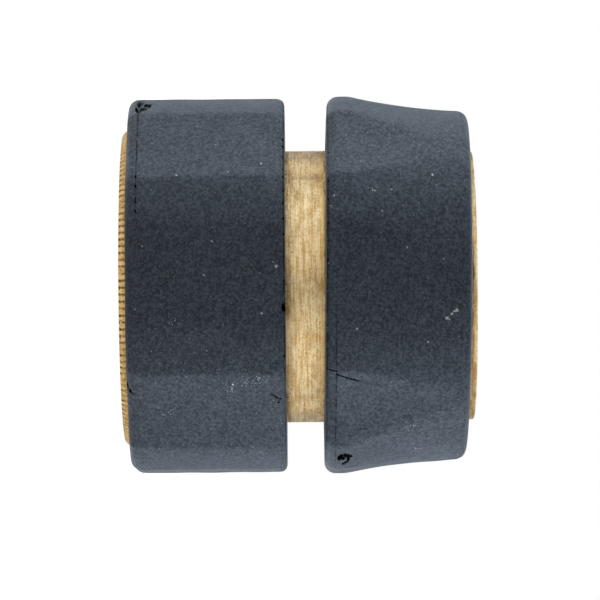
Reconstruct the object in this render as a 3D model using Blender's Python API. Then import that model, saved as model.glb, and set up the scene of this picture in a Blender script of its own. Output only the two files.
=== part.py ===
"""Brass quick connector for a garden hose, with rubber grips.

The connector stands on the end face of its hose nut, with its socket mouth
up: z = 0 is the end where the hose goes in, and +Z runs along the axis.
A hose is pushed over the barbed tail and clamped by the nut.  A plug is
pushed into the socket and held by a row of balls.  Pushing the sleeve
towards the nut lets the balls move out and frees the plug.
"""

import math

import bmesh
import bpy
from mathutils import Matrix, Vector

MM = 0.001
FULL_TURN = 2.0 * math.pi

# Facets round a turned piece, the body, a ball, a drilled hole and the
# seal's wire.  The body's suit its balls: each hole falls alike on them.
ROUND = 36
BODY_ROUND = 40
BALL_SEGMENTS = 12
BALL_RINGS = 8
HOLE_SEGMENTS = 12
SEAL_SEGMENTS = 8
FILLET_STEPS = 3
SHARP_EDGE_DEG = 30.0

# How far a cutting guide reaches past what it cuts
GUIDE_MARGIN = 1.0 * MM

# Lengths along the axis, as the outside shows them from the hose end
NUT_RIM = 0.7 * MM
NUT_GRIP_LENGTH = 15.3 * MM
RELEASE_GAP = 3.95 * MM
SLEEVE_GRIP_LENGTH = 14.15 * MM
SLEEVE_RIM = 0.65 * MM
MOUTH_RECESS = 0.35 * MM

# Clearances
SEAT_GAP = 0.3 * MM
SLIDE_GAP = 0.1 * MM
SKIRT_GAP = 0.15 * MM
BALL_GAP = 0.12 * MM
THREAD_GAP = 0.25 * MM
CLAMP_GAP = 0.25 * MM
GRIP_SEAT = 0.2 * MM
LIP_GAP = 0.35 * MM
RING_GAP = 0.05 * MM
RING_POCKET_GAP = 0.2 * MM
SEAL_GAP = 0.15 * MM
RING_FLOOR_GAP = 0.15 * MM
SPRING_GAP = 0.15 * MM
COIL_GAP = 0.05 * MM
CONE_EASE = 0.05 * MM
POINT_MERGE = 0.0001 * MM

# Edge breaks
EDGE = 0.3 * MM
MOUTH_CHAMFER = 0.7 * MM

# Hose tail of the body, from the water way outwards
WATERWAY_RADIUS = 6.0 * MM
TAIL_WALL = 1.3 * MM
TAIL_RECESS = 1.2 * MM
BARB_COUNT = 3
BARB_PITCH = 2.3 * MM
BARB_LAND = 0.4 * MM
BARB_HEIGHT = 0.6 * MM
HOSE_WALL = 3.0 * MM
HOSE_EASE = 0.4 * MM
POCKET_DEPTH = 3.5 * MM

# Male thread of the body, modelled at its crests
THREAD_LENGTH = 6.2 * MM
THREAD_STEP = 0.35 * MM
THREAD_DEPTH = 0.8 * MM
RELIEF_LENGTH = 0.9 * MM

# Socket of the body, from the water way outwards
NOSE_LEDGE = 1.6 * MM
NOSE_DEPTH = 9.0 * MM
COLLAR_LEDGE = 1.2 * MM
SOCKET_DEPTH = 9.2 * MM
SEAL_WIRE_RADIUS = 0.9 * MM
SEAL_SQUEEZE = 0.65 * MM
SEAL_DEPTH = 6.0 * MM

# Ball lock
BALL_COUNT = 8
BALL_RADIUS = 1.5 * MM
BALL_REACH = 0.7 * MM
BALL_SINK = 0.1 * MM
SLEEVE_TRAVEL = 3.0 * MM
LAND_BELOW_BALLS = 1.9 * MM
TRAVEL_MARGIN = 0.1 * MM

# Retaining ring and the brass above its groove
RING_THICKNESS = 0.6 * MM
RING_BEARING = 0.4 * MM
RING_OPENING_DEG = 26.0
GROOVE_DEPTH = 0.7 * MM
MOUTH_LIP = 0.65 * MM

# Release sleeve and its spring
SPRING_SEAT = 2.35 * MM
SPRING_WIRE_RADIUS = 0.35 * MM
SPRING_END_TURNS = 0.75
SPRING_OPEN_TURNS = 1.5
SPRING_STEPS_PER_TURN = 18
SKIRT_WALL = 1.2 * MM
SKIRT_OVERLAP = 0.9 * MM
SHOULDER_WALL = 0.6 * MM
SLEEVE_LIP_WALL = 0.8 * MM
SLEEVE_LIP_FILLET = 0.5 * MM

# Hose nut
NUT_WALL = 2.25 * MM
NUT_FLOOR = 1.8 * MM
ENTRY_EASE = 0.4 * MM
ENTRY_CHAMFER = 0.5 * MM
CLAMP_LEDGE = 0.9 * MM
KNURL_TEETH = 100
KNURL_DEPTH = 0.25 * MM
KNURL_ALLOWANCE = 0.05 * MM

# Clamp ring
CLAMP_TEETH = 4
CLAMP_TOOTH_DEPTH = 0.4 * MM
CLAMP_SPLIT_DEG = 11.0
CLAMP_SLOTS = 5
CLAMP_SLOT_WIDTH = 1.0 * MM
CLAMP_SLOT_SHARE = 0.6

# Rubber grips: a round of this radius with eight flats cut on it
FLAT_COUNT = 8
FLAT_START_DEG = -4.0
FLAT_HALF_ANGLE = math.radians(14.7)
FLAT_STEPS = 3
CORNER_STEPS = 3
NUT_GRIP_LIP = 0.8 * MM
NUT_GRIP_WALL = 3.1 * MM
NUT_GRIP_FILLET = 1.1 * MM
NUT_GRIP_TOP_FILLET = 0.8 * MM
SLEEVE_GRIP_LIP = 0.95 * MM
FLANGE_WALL = 4.0 * MM
FLANGE_LENGTH = 2.25 * MM
FLANGE_FILLET = 1.1 * MM
FLARE_END_WALL = 3.8 * MM
FLARE_END_FILLET = 1.1 * MM
FLARE_POWER = 1.8
FLARE_STEPS = 8
FLAT_APEX_BELOW_TOP = 2.85 * MM

# Stations along the axis
nut_grip_top = NUT_RIM + NUT_GRIP_LENGTH
sleeve_grip_bottom = nut_grip_top + RELEASE_GAP
sleeve_grip_top = sleeve_grip_bottom + SLEEVE_GRIP_LENGTH
sleeve_top = sleeve_grip_top + SLEEVE_RIM
mouth = sleeve_top - MOUTH_RECESS

nut_top = nut_grip_top - NUT_GRIP_LIP - SEAT_GAP
thread_shoulder = nut_top + SEAT_GAP
thread_end = thread_shoulder - THREAD_LENGTH
pocket_top = thread_end + POCKET_DEPTH
clamp_bottom = NUT_FLOOR + SEAT_GAP
clamp_top = thread_end - SEAT_GAP

sleeve_bottom = sleeve_grip_bottom + SLEEVE_GRIP_LIP + SEAT_GAP
spring_shoulder = sleeve_bottom + SKIRT_OVERLAP

groove_top = mouth - MOUTH_LIP
groove_bottom = groove_top - RING_THICKNESS - 2.0 * RING_GAP
sleeve_stop = groove_bottom - RING_GAP
ball_row = sleeve_stop - SLEEVE_TRAVEL - TRAVEL_MARGIN
spring_seat_top = ball_row - LAND_BELOW_BALLS
sleeve_step = spring_seat_top + SHOULDER_WALL

collar_seat = mouth - SOCKET_DEPTH
nose_floor = collar_seat - NOSE_DEPTH
seal_centre = collar_seat - SEAL_DEPTH

# Radii of the hose end
tail_radius = WATERWAY_RADIUS + TAIL_WALL
clamp_bore = tail_radius + HOSE_WALL + HOSE_EASE
pocket_radius = clamp_bore + SEAT_GAP
entry_radius = clamp_bore + ENTRY_EASE

# Radii of the socket and the ball lock
nose_radius = WATERWAY_RADIUS + NOSE_LEDGE
socket_radius = nose_radius + COLLAR_LEDGE
ball_orbit = socket_radius - BALL_REACH + BALL_RADIUS
neck_radius = ball_orbit + BALL_RADIUS + BALL_SINK
land_radius = neck_radius + SLIDE_GAP
ramp_slope = BALL_REACH / SLEEVE_TRAVEL
ramp_offset = (BALL_RADIUS + BALL_GAP) * math.hypot(1.0, ramp_slope)


def ramp_radius(z):
    """Radius of the sleeve's ramp, which keeps the ball gap all the way."""
    return ball_orbit + ramp_offset + ramp_slope * (z - ball_row)


ramp_start = ball_row + (land_radius - ramp_radius(ball_row)) / ramp_slope
groove_radius = neck_radius - GROOVE_DEPTH
ring_outer = ramp_radius(sleeve_stop) + RING_BEARING
ring_pocket = ring_outer + RING_POCKET_GAP
sleeve_lip_radius = ring_pocket + SLEEVE_LIP_WALL

# Radii of the body, the nut and the skirt, from the neck outwards
body_radius = neck_radius + SPRING_SEAT
thread_radius = body_radius - THREAD_STEP
relief_radius = thread_radius - THREAD_DEPTH
nut_bore = thread_radius + THREAD_GAP
nut_radius = nut_bore + NUT_WALL
cone_bottom_radius = entry_radius + CLAMP_LEDGE
cone_top_radius = nut_bore - THREAD_STEP
skirt_bore = body_radius + SKIRT_GAP
skirt_radius = skirt_bore + SKIRT_WALL
lip_bore = body_radius + LIP_GAP
seal_groove_radius = nose_radius - SEAL_SQUEEZE + 2.0 * SEAL_WIRE_RADIUS + SEAL_GAP

# Radii of the rubber grips, from the brass that they are stretched over
nut_grip_bore = nut_radius + GRIP_SEAT
nut_grip_radius = nut_grip_bore + NUT_GRIP_WALL
sleeve_grip_bore = skirt_radius + GRIP_SEAT
flange_radius = sleeve_grip_bore + FLANGE_WALL
flare_bore = sleeve_lip_radius + GRIP_SEAT
flare_end_radius = flare_bore + FLARE_END_WALL


def clear_scene():
    """Start from an empty scene."""
    for old in list(bpy.data.objects):
        bpy.data.objects.remove(old, do_unlink=True)


def make_material(name, colour, metallic, roughness):
    """A plain Principled material."""
    mat = bpy.data.materials.new(name)
    mat.use_nodes = True
    shader = mat.node_tree.nodes["Principled BSDF"]
    shader.inputs["Base Color"].default_value = (*colour, 1.0)
    shader.inputs["Metallic"].default_value = metallic
    shader.inputs["Roughness"].default_value = roughness
    return mat


def add_object(name, bm, mat, location=(0.0, 0.0, 0.0)):
    """Turn a bmesh drawn in world places into an object at a location."""
    bmesh.ops.translate(bm, verts=bm.verts, vec=-Vector(location))
    bmesh.ops.recalc_face_normals(bm, faces=bm.faces)
    mesh = bpy.data.meshes.new(name)
    bm.to_mesh(mesh)
    bm.free()
    mesh.shade_smooth()
    mesh.set_sharp_from_angle(angle=math.radians(SHARP_EDGE_DEG))
    obj = bpy.data.objects.new(name, mesh)
    obj.location = location
    bpy.context.collection.objects.link(obj)
    if mat is not None:
        mesh.materials.append(mat)
    return obj


def turn(bm, profile, segments=ROUND, sweep=FULL_TURN):
    """Spin a closed profile of (radius, z) points about the Z axis."""
    ring = [bm.verts.new((radius, 0.0, z)) for radius, z in profile]
    edges = [bm.edges.new((ring[i - 1], ring[i])) for i in range(len(ring))]
    closed = math.isclose(sweep, FULL_TURN)
    if not closed:
        bm.faces.new(ring)
    made = bmesh.ops.spin(
        bm,
        geom=ring + edges,
        axis=(0.0, 0.0, 1.0),
        cent=(0.0, 0.0, 0.0),
        angle=sweep,
        steps=segments,
        use_merge=closed,
    )
    if not closed:
        last = [item for item in made["geom_last"] if isinstance(item, bmesh.types.BMEdge)]
        bmesh.ops.contextual_create(bm, geom=last)
    bmesh.ops.remove_doubles(bm, verts=bm.verts, dist=POINT_MERGE)


def turned_piece(name, profile, mat, base_z, segments=ROUND, sweep=FULL_TURN):
    """One turned solid, with its origin on the axis at base_z."""
    bm = bmesh.new()
    turn(bm, profile, segments, sweep)
    return add_object(name, bm, mat, (0.0, 0.0, base_z))


def arc(centre_r, centre_z, radius, start_deg, end_deg, steps=FILLET_STEPS):
    """Points of an arc in the (radius, z) plane."""
    points = []
    for i in range(steps + 1):
        angle = math.radians(start_deg + (end_deg - start_deg) * i / steps)
        points.append((centre_r + radius * math.cos(angle), centre_z + radius * math.sin(angle)))
    return points


def use_boolean(obj, cutter, operation):
    """Cut an object with a guide solid that isn't part of the connector."""
    cutter.hide_render = True
    cutter.display_type = "WIRE"
    modifier = obj.modifiers.new(operation.title(), "BOOLEAN")
    modifier.operation = operation
    modifier.solver = "EXACT"
    modifier.object = cutter


def barb_points():
    """The barbs of the hose tail, sharp on the side away from the tip."""
    points = []
    start = TAIL_RECESS + BARB_LAND + EDGE
    for i in range(BARB_COUNT):
        crest = start + (i + 1) * BARB_PITCH - BARB_LAND
        points.append((tail_radius, start + i * BARB_PITCH))
        points.append((tail_radius + BARB_HEIGHT, crest))
        points.append((tail_radius, crest))
    return points


def body_profile():
    """Section of the body: outside from the tail's tip up, inside down."""
    outside = [(tail_radius - EDGE, TAIL_RECESS)]
    outside += barb_points()
    outside += [
        (tail_radius, pocket_top),
        (pocket_radius, pocket_top),
        (pocket_radius, thread_end + EDGE),
        (pocket_radius + EDGE, thread_end),
        (thread_radius - THREAD_DEPTH, thread_end),
        (thread_radius, thread_end + THREAD_DEPTH),
        (thread_radius, thread_shoulder - RELIEF_LENGTH - THREAD_DEPTH),
        (relief_radius, thread_shoulder - RELIEF_LENGTH),
        (relief_radius, thread_shoulder),
        (body_radius - EDGE, thread_shoulder),
        (body_radius, thread_shoulder + EDGE),
        (body_radius, spring_shoulder - EDGE),
        (body_radius - EDGE, spring_shoulder),
        (neck_radius, spring_shoulder),
        (neck_radius, groove_bottom),
        (groove_radius, groove_bottom),
        (groove_radius, groove_top),
        (neck_radius, groove_top),
        (neck_radius, mouth - EDGE),
        (neck_radius - EDGE, mouth),
    ]
    inside = [
        (socket_radius + MOUTH_CHAMFER, mouth),
        (socket_radius, mouth - MOUTH_CHAMFER),
        (socket_radius, collar_seat),
        (nose_radius + EDGE, collar_seat),
        (nose_radius, collar_seat - EDGE),
        (nose_radius, seal_centre + SEAL_WIRE_RADIUS + SEAL_GAP),
        (seal_groove_radius, seal_centre + SEAL_WIRE_RADIUS + SEAL_GAP),
        (seal_groove_radius, seal_centre - SEAL_WIRE_RADIUS - SEAL_GAP),
        (nose_radius, seal_centre - SEAL_WIRE_RADIUS - SEAL_GAP),
        (nose_radius, nose_floor),
        (WATERWAY_RADIUS + EDGE, nose_floor),
        (WATERWAY_RADIUS, nose_floor - EDGE),
        (WATERWAY_RADIUS, TAIL_RECESS + EDGE),
        (WATERWAY_RADIUS + EDGE, TAIL_RECESS),
    ]
    return outside + inside


def ball_direction(index):
    """Unit vector from the axis to a ball, level with the ball row."""
    angle = FULL_TURN * (index + 0.5) / BALL_COUNT
    return Vector((math.cos(angle), math.sin(angle), 0.0))


def ball_hole_profile():
    """A drilled hole whose inner end is a round seat that keeps the ball."""
    reach = BALL_RADIUS + BALL_GAP
    tip = ball_orbit - socket_radius + BALL_GAP
    seat = []
    start = math.asin(tip / reach)
    for i in range(FILLET_STEPS + 1):
        angle = start * (1.0 - i / FILLET_STEPS)
        seat.append((reach * math.cos(angle), -reach * math.sin(angle)))
    inner_end = -tip - GUIDE_MARGIN
    outer_end = BALL_RADIUS + BALL_SINK + GUIDE_MARGIN
    drill = [(0.0, inner_end), (seat[0][0], inner_end)]
    return drill + seat + [(reach, outer_end), (0.0, outer_end)]


def make_ball_hole_cutter():
    """One guide solid with a hole's shape for each ball."""
    grow = 1.0 / math.cos(math.pi / HOLE_SEGMENTS)
    bm = bmesh.new()
    for i in range(BALL_COUNT):
        hole = bmesh.new()
        turn(hole, [(radius * grow, z) for radius, z in ball_hole_profile()], HOLE_SEGMENTS)
        out = ball_direction(i)
        centre = out * ball_orbit + Vector((0.0, 0.0, ball_row))
        matrix = Matrix.Translation(centre) @ out.to_track_quat("Z", "Y").to_matrix().to_4x4()
        hole.transform(matrix)
        mesh = bpy.data.meshes.new("hole")
        hole.to_mesh(mesh)
        hole.free()
        bm.from_mesh(mesh)
        bpy.data.meshes.remove(mesh)
    return add_object("ball_hole_guide", bm, None)


def make_body(mat):
    """The turned brass body: hose tail, male thread, neck and socket."""
    body = turned_piece("connector_body", body_profile(), mat, TAIL_RECESS, BODY_ROUND)
    use_boolean(body, make_ball_hole_cutter(), "DIFFERENCE")
    return body


def make_balls(mat):
    """The locking balls, each with its origin at its own centre."""
    for i in range(BALL_COUNT):
        bm = bmesh.new()
        bmesh.ops.create_uvsphere(
            bm, u_segments=BALL_SEGMENTS, v_segments=BALL_RINGS, radius=BALL_RADIUS
        )
        centre = ball_direction(i) * ball_orbit + Vector((0.0, 0.0, ball_row))
        bmesh.ops.translate(bm, verts=bm.verts, vec=centre)
        add_object("lock_ball_%d" % (i + 1), bm, mat, tuple(centre))


def make_plug_seal(mat):
    """The O-ring in the throat that seals round the plug's nose."""
    orbit = nose_radius - SEAL_SQUEEZE + SEAL_WIRE_RADIUS
    first = 180.0 / SEAL_SEGMENTS
    profile = arc(orbit, seal_centre, SEAL_WIRE_RADIUS, first, 360.0 - first, SEAL_SEGMENTS - 1)
    return turned_piece("plug_seal", profile, mat, seal_centre)


def make_retaining_ring(mat):
    """The open spring ring that stops the sleeve at the mouth."""
    bottom = groove_bottom + RING_GAP
    top = bottom + RING_THICKNESS
    inner = groove_radius + RING_FLOOR_GAP
    profile = [(inner, bottom), (ring_outer, bottom), (ring_outer, top), (inner, top)]
    sweep = FULL_TURN - math.radians(RING_OPENING_DEG)
    ring = turned_piece("retaining_ring", profile, mat, bottom, ROUND, sweep)
    ring.rotation_euler.z = math.radians(RING_OPENING_DEG * 0.5)
    return ring


def sleeve_profile():
    """Section of the release sleeve: outside up, inside down."""
    lip_centre = (sleeve_lip_radius - SLEEVE_LIP_FILLET, sleeve_top - SLEEVE_LIP_FILLET)
    outside = [
        (skirt_bore + EDGE, sleeve_bottom),
        (skirt_radius - EDGE, sleeve_bottom),
        (skirt_radius, sleeve_bottom + EDGE),
        (skirt_radius, sleeve_step),
        (sleeve_lip_radius, sleeve_step + EDGE),
    ]
    outside += arc(*lip_centre, SLEEVE_LIP_FILLET, 0.0, 90.0)
    inside = [
        (ring_pocket, sleeve_top - EDGE),
        (ring_pocket, sleeve_stop),
        (ramp_radius(sleeve_stop), sleeve_stop),
        (land_radius, ramp_start),
        (land_radius, spring_seat_top),
        (skirt_bore, spring_seat_top),
        (skirt_bore, sleeve_bottom + EDGE),
    ]
    return outside + inside


def make_sleeve(mat):
    """The brass sleeve, whose land and ramp work the balls."""
    return turned_piece("release_sleeve", sleeve_profile(), mat, sleeve_bottom)


def spring_height(turns, free_length):
    """Rise of the wire's centre line after a number of turns."""
    closed_pitch = 2.0 * SPRING_WIRE_RADIUS + COIL_GAP
    total = 2.0 * SPRING_END_TURNS + SPRING_OPEN_TURNS
    closed_rise = closed_pitch * SPRING_END_TURNS
    open_rise = free_length - 2.0 * closed_rise
    if turns <= SPRING_END_TURNS:
        return closed_pitch * turns
    if turns >= total - SPRING_END_TURNS:
        return free_length - closed_pitch * (total - turns)
    return closed_rise + open_rise * (turns - SPRING_END_TURNS) / SPRING_OPEN_TURNS


def make_spring(mat):
    """The sleeve's wire spring, between the body's shoulder and the sleeve."""
    margin = SPRING_WIRE_RADIUS + SPRING_GAP
    bottom = spring_shoulder + margin
    free_length = spring_seat_top - margin - bottom
    orbit = 0.5 * (neck_radius + skirt_bore)
    turns = 2.0 * SPRING_END_TURNS + SPRING_OPEN_TURNS
    steps = round(turns * SPRING_STEPS_PER_TURN)
    curve = bpy.data.curves.new("sleeve_spring", "CURVE")
    curve.dimensions = "3D"
    curve.bevel_depth = SPRING_WIRE_RADIUS
    curve.bevel_resolution = 2
    curve.use_fill_caps = True
    spline = curve.splines.new("POLY")
    spline.points.add(steps)
    for i, point in enumerate(spline.points):
        done = turns * i / steps
        angle = FULL_TURN * done
        z = spring_height(done, free_length)
        point.co = (orbit * math.cos(angle), orbit * math.sin(angle), z, 1.0)
    curve.materials.append(mat)
    spring = bpy.data.objects.new("sleeve_spring", curve)
    spring.location = (0.0, 0.0, bottom)
    bpy.context.collection.objects.link(spring)
    return spring


def nut_profile():
    """Section of the nut, a little over its knurl: outside up, inside down."""
    blank = (nut_radius + KNURL_ALLOWANCE) / math.cos(math.pi / ROUND)
    cone_top = clamp_top - CONE_EASE
    return [
        (entry_radius + ENTRY_CHAMFER, 0.0),
        (nut_radius - EDGE - KNURL_DEPTH, 0.0),
        (blank, EDGE + KNURL_DEPTH),
        (blank, nut_top - EDGE - KNURL_DEPTH),
        (nut_radius - EDGE - KNURL_DEPTH, nut_top),
        (nut_bore + THREAD_DEPTH, nut_top),
        (nut_bore, nut_top - THREAD_DEPTH),
        (nut_bore, cone_top),
        (cone_top_radius, cone_top),
        (cone_bottom_radius, NUT_FLOOR),
        (entry_radius, NUT_FLOOR),
        (entry_radius, ENTRY_CHAMFER),
    ]


def make_knurl_guide():
    """A toothed prism whose outside is the straight knurl of the nut."""
    bm = bmesh.new()
    outline = []
    for i in range(2 * KNURL_TEETH):
        radius = nut_radius - (KNURL_DEPTH if i % 2 else 0.0)
        angle = math.pi * i / KNURL_TEETH
        spot = (radius * math.cos(angle), radius * math.sin(angle), -GUIDE_MARGIN)
        outline.append(bm.verts.new(spot))
    base = bm.faces.new(outline)
    top = bmesh.ops.extrude_face_region(bm, geom=[base])["geom"]
    raised = [item for item in top if isinstance(item, bmesh.types.BMVert)]
    bmesh.ops.translate(bm, verts=raised, vec=(0.0, 0.0, nut_top + 2.0 * GUIDE_MARGIN))
    return add_object("knurl_guide", bm, None)


def make_nut(mat):
    """The brass hose nut, straight-knurled to hold its rubber."""
    nut = turned_piece("hose_nut", nut_profile(), mat, 0.0)
    use_boolean(nut, make_knurl_guide(), "INTERSECT")
    return nut


def clamp_profile():
    """Section of the clamp ring: toothed bore, and a cone outside."""
    cone_top = clamp_top - CONE_EASE
    slope = (cone_top_radius - cone_bottom_radius) / (cone_top - NUT_FLOOR)
    bottom_radius = cone_bottom_radius - CLAMP_GAP + slope * (clamp_bottom - NUT_FLOOR)
    top_radius = bottom_radius + slope * (clamp_top - clamp_bottom)
    tooth_pitch = (clamp_top - clamp_bottom) / CLAMP_TEETH
    points = [(bottom_radius, clamp_bottom), (top_radius, clamp_top)]
    for i in range(CLAMP_TEETH):
        crest = clamp_top - i * tooth_pitch
        points.append((clamp_bore, crest))
        points.append((clamp_bore + CLAMP_TOOTH_DEPTH, crest - 0.5 * tooth_pitch))
    points.append((clamp_bore, clamp_bottom))
    return points


def make_slot_guide():
    """Boxes for the slots that let the clamp ring close."""
    bm = bmesh.new()
    half_height = (clamp_top - clamp_bottom) * CLAMP_SLOT_SHARE
    half_length = cone_top_radius - clamp_bore + GUIDE_MARGIN
    size = Matrix.Diagonal((2.0 * half_length, CLAMP_SLOT_WIDTH, 2.0 * half_height, 1.0))
    centre = Matrix.Translation((clamp_bore, 0.0, clamp_bottom))
    for i in range(CLAMP_SLOTS):
        angle = FULL_TURN * (i + 1) / (CLAMP_SLOTS + 1)
        made = bmesh.ops.create_cube(bm, size=1.0)
        matrix = Matrix.Rotation(angle, 4, "Z") @ centre @ size
        bmesh.ops.transform(bm, matrix=matrix, verts=made["verts"])
    return add_object("slot_guide", bm, None)


def make_clamp_ring(mat):
    """The split plastic ring that the nut's cone closes on the hose."""
    sweep = FULL_TURN - math.radians(CLAMP_SPLIT_DEG)
    ring = turned_piece("clamp_ring", clamp_profile(), mat, clamp_bottom, ROUND, sweep)
    ring.rotation_euler.z = math.radians(CLAMP_SPLIT_DEG * 0.5)
    use_boolean(ring, make_slot_guide(), "DIFFERENCE")
    return ring


def grip_ring(bm, z, radius, half_angle, inset=0.0):
    """One ring of a grip: a round with flats of the given half angle."""
    sector = FULL_TURN / FLAT_COUNT
    corner = max(half_angle, sector / (2.0 * (FLAT_STEPS + CORNER_STEPS)))
    verts = []
    for flat in range(FLAT_COUNT):
        middle = math.radians(FLAT_START_DEG) + flat * sector
        turns = [corner * (2.0 * i / FLAT_STEPS - 1.0) for i in range(FLAT_STEPS)]
        rest = sector - 2.0 * corner
        turns += [corner + rest * i / CORNER_STEPS for i in range(CORNER_STEPS)]
        for angle in turns:
            length = radius
            if abs(angle) < half_angle:
                length = radius * math.cos(half_angle) / math.cos(angle)
            length -= inset
            spot = middle + angle
            verts.append(bm.verts.new((length * math.cos(spot), length * math.sin(spot), z)))
    return verts


def skin_rings(bm, rings):
    """Faces from each ring to the next, and from the last to the first."""
    for i, ring in enumerate(rings):
        before = rings[i - 1]
        for j in range(len(ring)):
            bm.faces.new((before[j - 1], before[j], ring[j], ring[j - 1]))


def end_fillet(z_end, fillet, direction):
    """Pairs of height and inset round a grip's end, from the end inwards."""
    pairs = []
    for i in range(FILLET_STEPS + 1):
        angle = 0.5 * math.pi * i / FILLET_STEPS
        z = z_end + direction * fillet * (1.0 - math.cos(angle))
        pairs.append((z, fillet * (1.0 - math.sin(angle))))
    return pairs


def bore_rings(bm, steps):
    """The inner rings of a grip, from pairs of radius and height."""
    return [grip_ring(bm, z, radius, 0.0) for radius, z in steps]


def make_nut_grip(mat):
    """The eight-flat rubber ring on the nut, lipped over its inner end."""
    bm = bmesh.new()
    lower = end_fillet(NUT_RIM, NUT_GRIP_FILLET, 1.0)
    upper = end_fillet(nut_grip_top, NUT_GRIP_TOP_FILLET, -1.0)
    rings = []
    for z, inset in lower + upper[::-1]:
        rings.append(grip_ring(bm, z, nut_grip_radius, FLAT_HALF_ANGLE, inset))
    lip = nut_grip_top - NUT_GRIP_LIP
    inside = [(lip_bore, nut_grip_top), (lip_bore, lip), (nut_grip_bore, lip), (nut_grip_bore, NUT_RIM)]
    rings += bore_rings(bm, inside)
    skin_rings(bm, rings)
    return add_object("nut_grip", bm, mat)


def flare_radius(z):
    """Round radius of the sleeve grip, hollow-curved up to its end."""
    start = sleeve_grip_bottom + FLANGE_LENGTH
    left = min(1.0, (sleeve_grip_top - z) / (sleeve_grip_top - start))
    return flare_end_radius + (flange_radius - flare_end_radius) * left**FLARE_POWER


def flare_half_angle(z):
    """Half angle of a flat, which narrows to a point below the top."""
    start = sleeve_grip_bottom + FLANGE_LENGTH
    apex = sleeve_grip_top - FLAT_APEX_BELOW_TOP
    done = (z - start) / (apex - start)
    return FLAT_HALF_ANGLE * math.sqrt(min(1.0, max(0.0, 1.0 - done)))


def make_sleeve_grip(mat):
    """The flared rubber ring on the sleeve, with flats that run out."""
    bm = bmesh.new()
    lower = end_fillet(sleeve_grip_bottom, FLANGE_FILLET, 1.0)
    upper = end_fillet(sleeve_grip_top, FLARE_END_FILLET, -1.0)[::-1]
    start = sleeve_grip_bottom + FLANGE_LENGTH
    span = sleeve_grip_top - FLARE_END_FILLET - start
    middle = [(start + span * i / FLARE_STEPS, 0.0) for i in range(FLARE_STEPS)]
    rings = []
    for z, inset in lower + middle + upper:
        rings.append(grip_ring(bm, z, flare_radius(z), flare_half_angle(z), inset))
    lip = sleeve_grip_bottom + SLEEVE_GRIP_LIP
    step = sleeve_step + EDGE + SEAT_GAP
    inside = [
        (flare_bore, sleeve_grip_top),
        (flare_bore, step),
        (sleeve_grip_bore, step),
        (sleeve_grip_bore, lip),
        (lip_bore, lip),
        (lip_bore, sleeve_grip_bottom),
    ]
    rings += bore_rings(bm, inside)
    skin_rings(bm, rings)
    return add_object("sleeve_grip", bm, mat, (0.0, 0.0, sleeve_grip_bottom))


def build():
    """Model the whole connector."""
    clear_scene()
    brass = make_material("brass", (0.62, 0.45, 0.20), 1.0, 0.34)
    rubber = make_material("grip_rubber", (0.035, 0.042, 0.05), 0.0, 0.7)
    seal = make_material("seal_rubber", (0.02, 0.02, 0.02), 0.0, 0.6)
    steel = make_material("spring_steel", (0.55, 0.55, 0.56), 1.0, 0.3)
    plastic = make_material("clamp_plastic", (0.70, 0.70, 0.67), 0.0, 0.5)
    make_body(brass)
    make_balls(steel)
    make_plug_seal(seal)
    make_retaining_ring(steel)
    make_spring(steel)
    make_sleeve(brass)
    make_sleeve_grip(rubber)
    make_nut(brass)
    make_nut_grip(rubber)
    make_clamp_ring(plastic)


build()
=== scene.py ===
# %% [markdown]
# # A brass quick connector, dressed in Blender
#
# This notebook dresses one garden hose connector. The solids come from a CAD model, and
# nothing here changes a size. Each step makes one finer piece over a
# plain solid, or one finish for it. The connector stands on the end of its hose nut, with
# its socket mouth up, and +Z is its axis. Lengths are written in millimetres and turned into
# Blender's metres as late as possible.

import math

import bmesh
import bpy
import numpy as np
from mathutils import Matrix, Vector


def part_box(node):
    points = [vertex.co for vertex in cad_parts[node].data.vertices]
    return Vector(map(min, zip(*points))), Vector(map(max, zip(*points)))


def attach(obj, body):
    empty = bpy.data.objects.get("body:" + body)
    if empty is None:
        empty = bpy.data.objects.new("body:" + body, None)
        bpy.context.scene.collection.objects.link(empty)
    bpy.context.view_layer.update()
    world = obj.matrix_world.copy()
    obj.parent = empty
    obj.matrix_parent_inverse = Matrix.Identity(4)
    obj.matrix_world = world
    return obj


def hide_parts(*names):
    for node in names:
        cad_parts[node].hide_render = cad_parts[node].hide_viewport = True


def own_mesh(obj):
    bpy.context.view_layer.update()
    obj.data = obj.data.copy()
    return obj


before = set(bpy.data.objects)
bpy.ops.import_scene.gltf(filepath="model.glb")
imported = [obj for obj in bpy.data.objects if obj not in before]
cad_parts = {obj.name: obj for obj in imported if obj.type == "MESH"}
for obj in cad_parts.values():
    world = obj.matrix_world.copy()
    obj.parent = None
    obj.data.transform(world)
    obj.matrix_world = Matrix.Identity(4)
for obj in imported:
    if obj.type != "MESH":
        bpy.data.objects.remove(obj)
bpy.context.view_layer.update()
MM = 0.001
TURN = 2.0 * math.pi

# %% [markdown]
# ## Skins from grids of points
#
# Nearly everything on this connector is round, so each piece is a grid of points: one row
# for each place along its section, and one column for each angle round the axis. Blender's
# Screw modifier could spin a section too. A grid in numpy is chosen because the same points
# can then be pushed in and out, to cut a thread, a knurl or a torn edge into the round.


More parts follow.
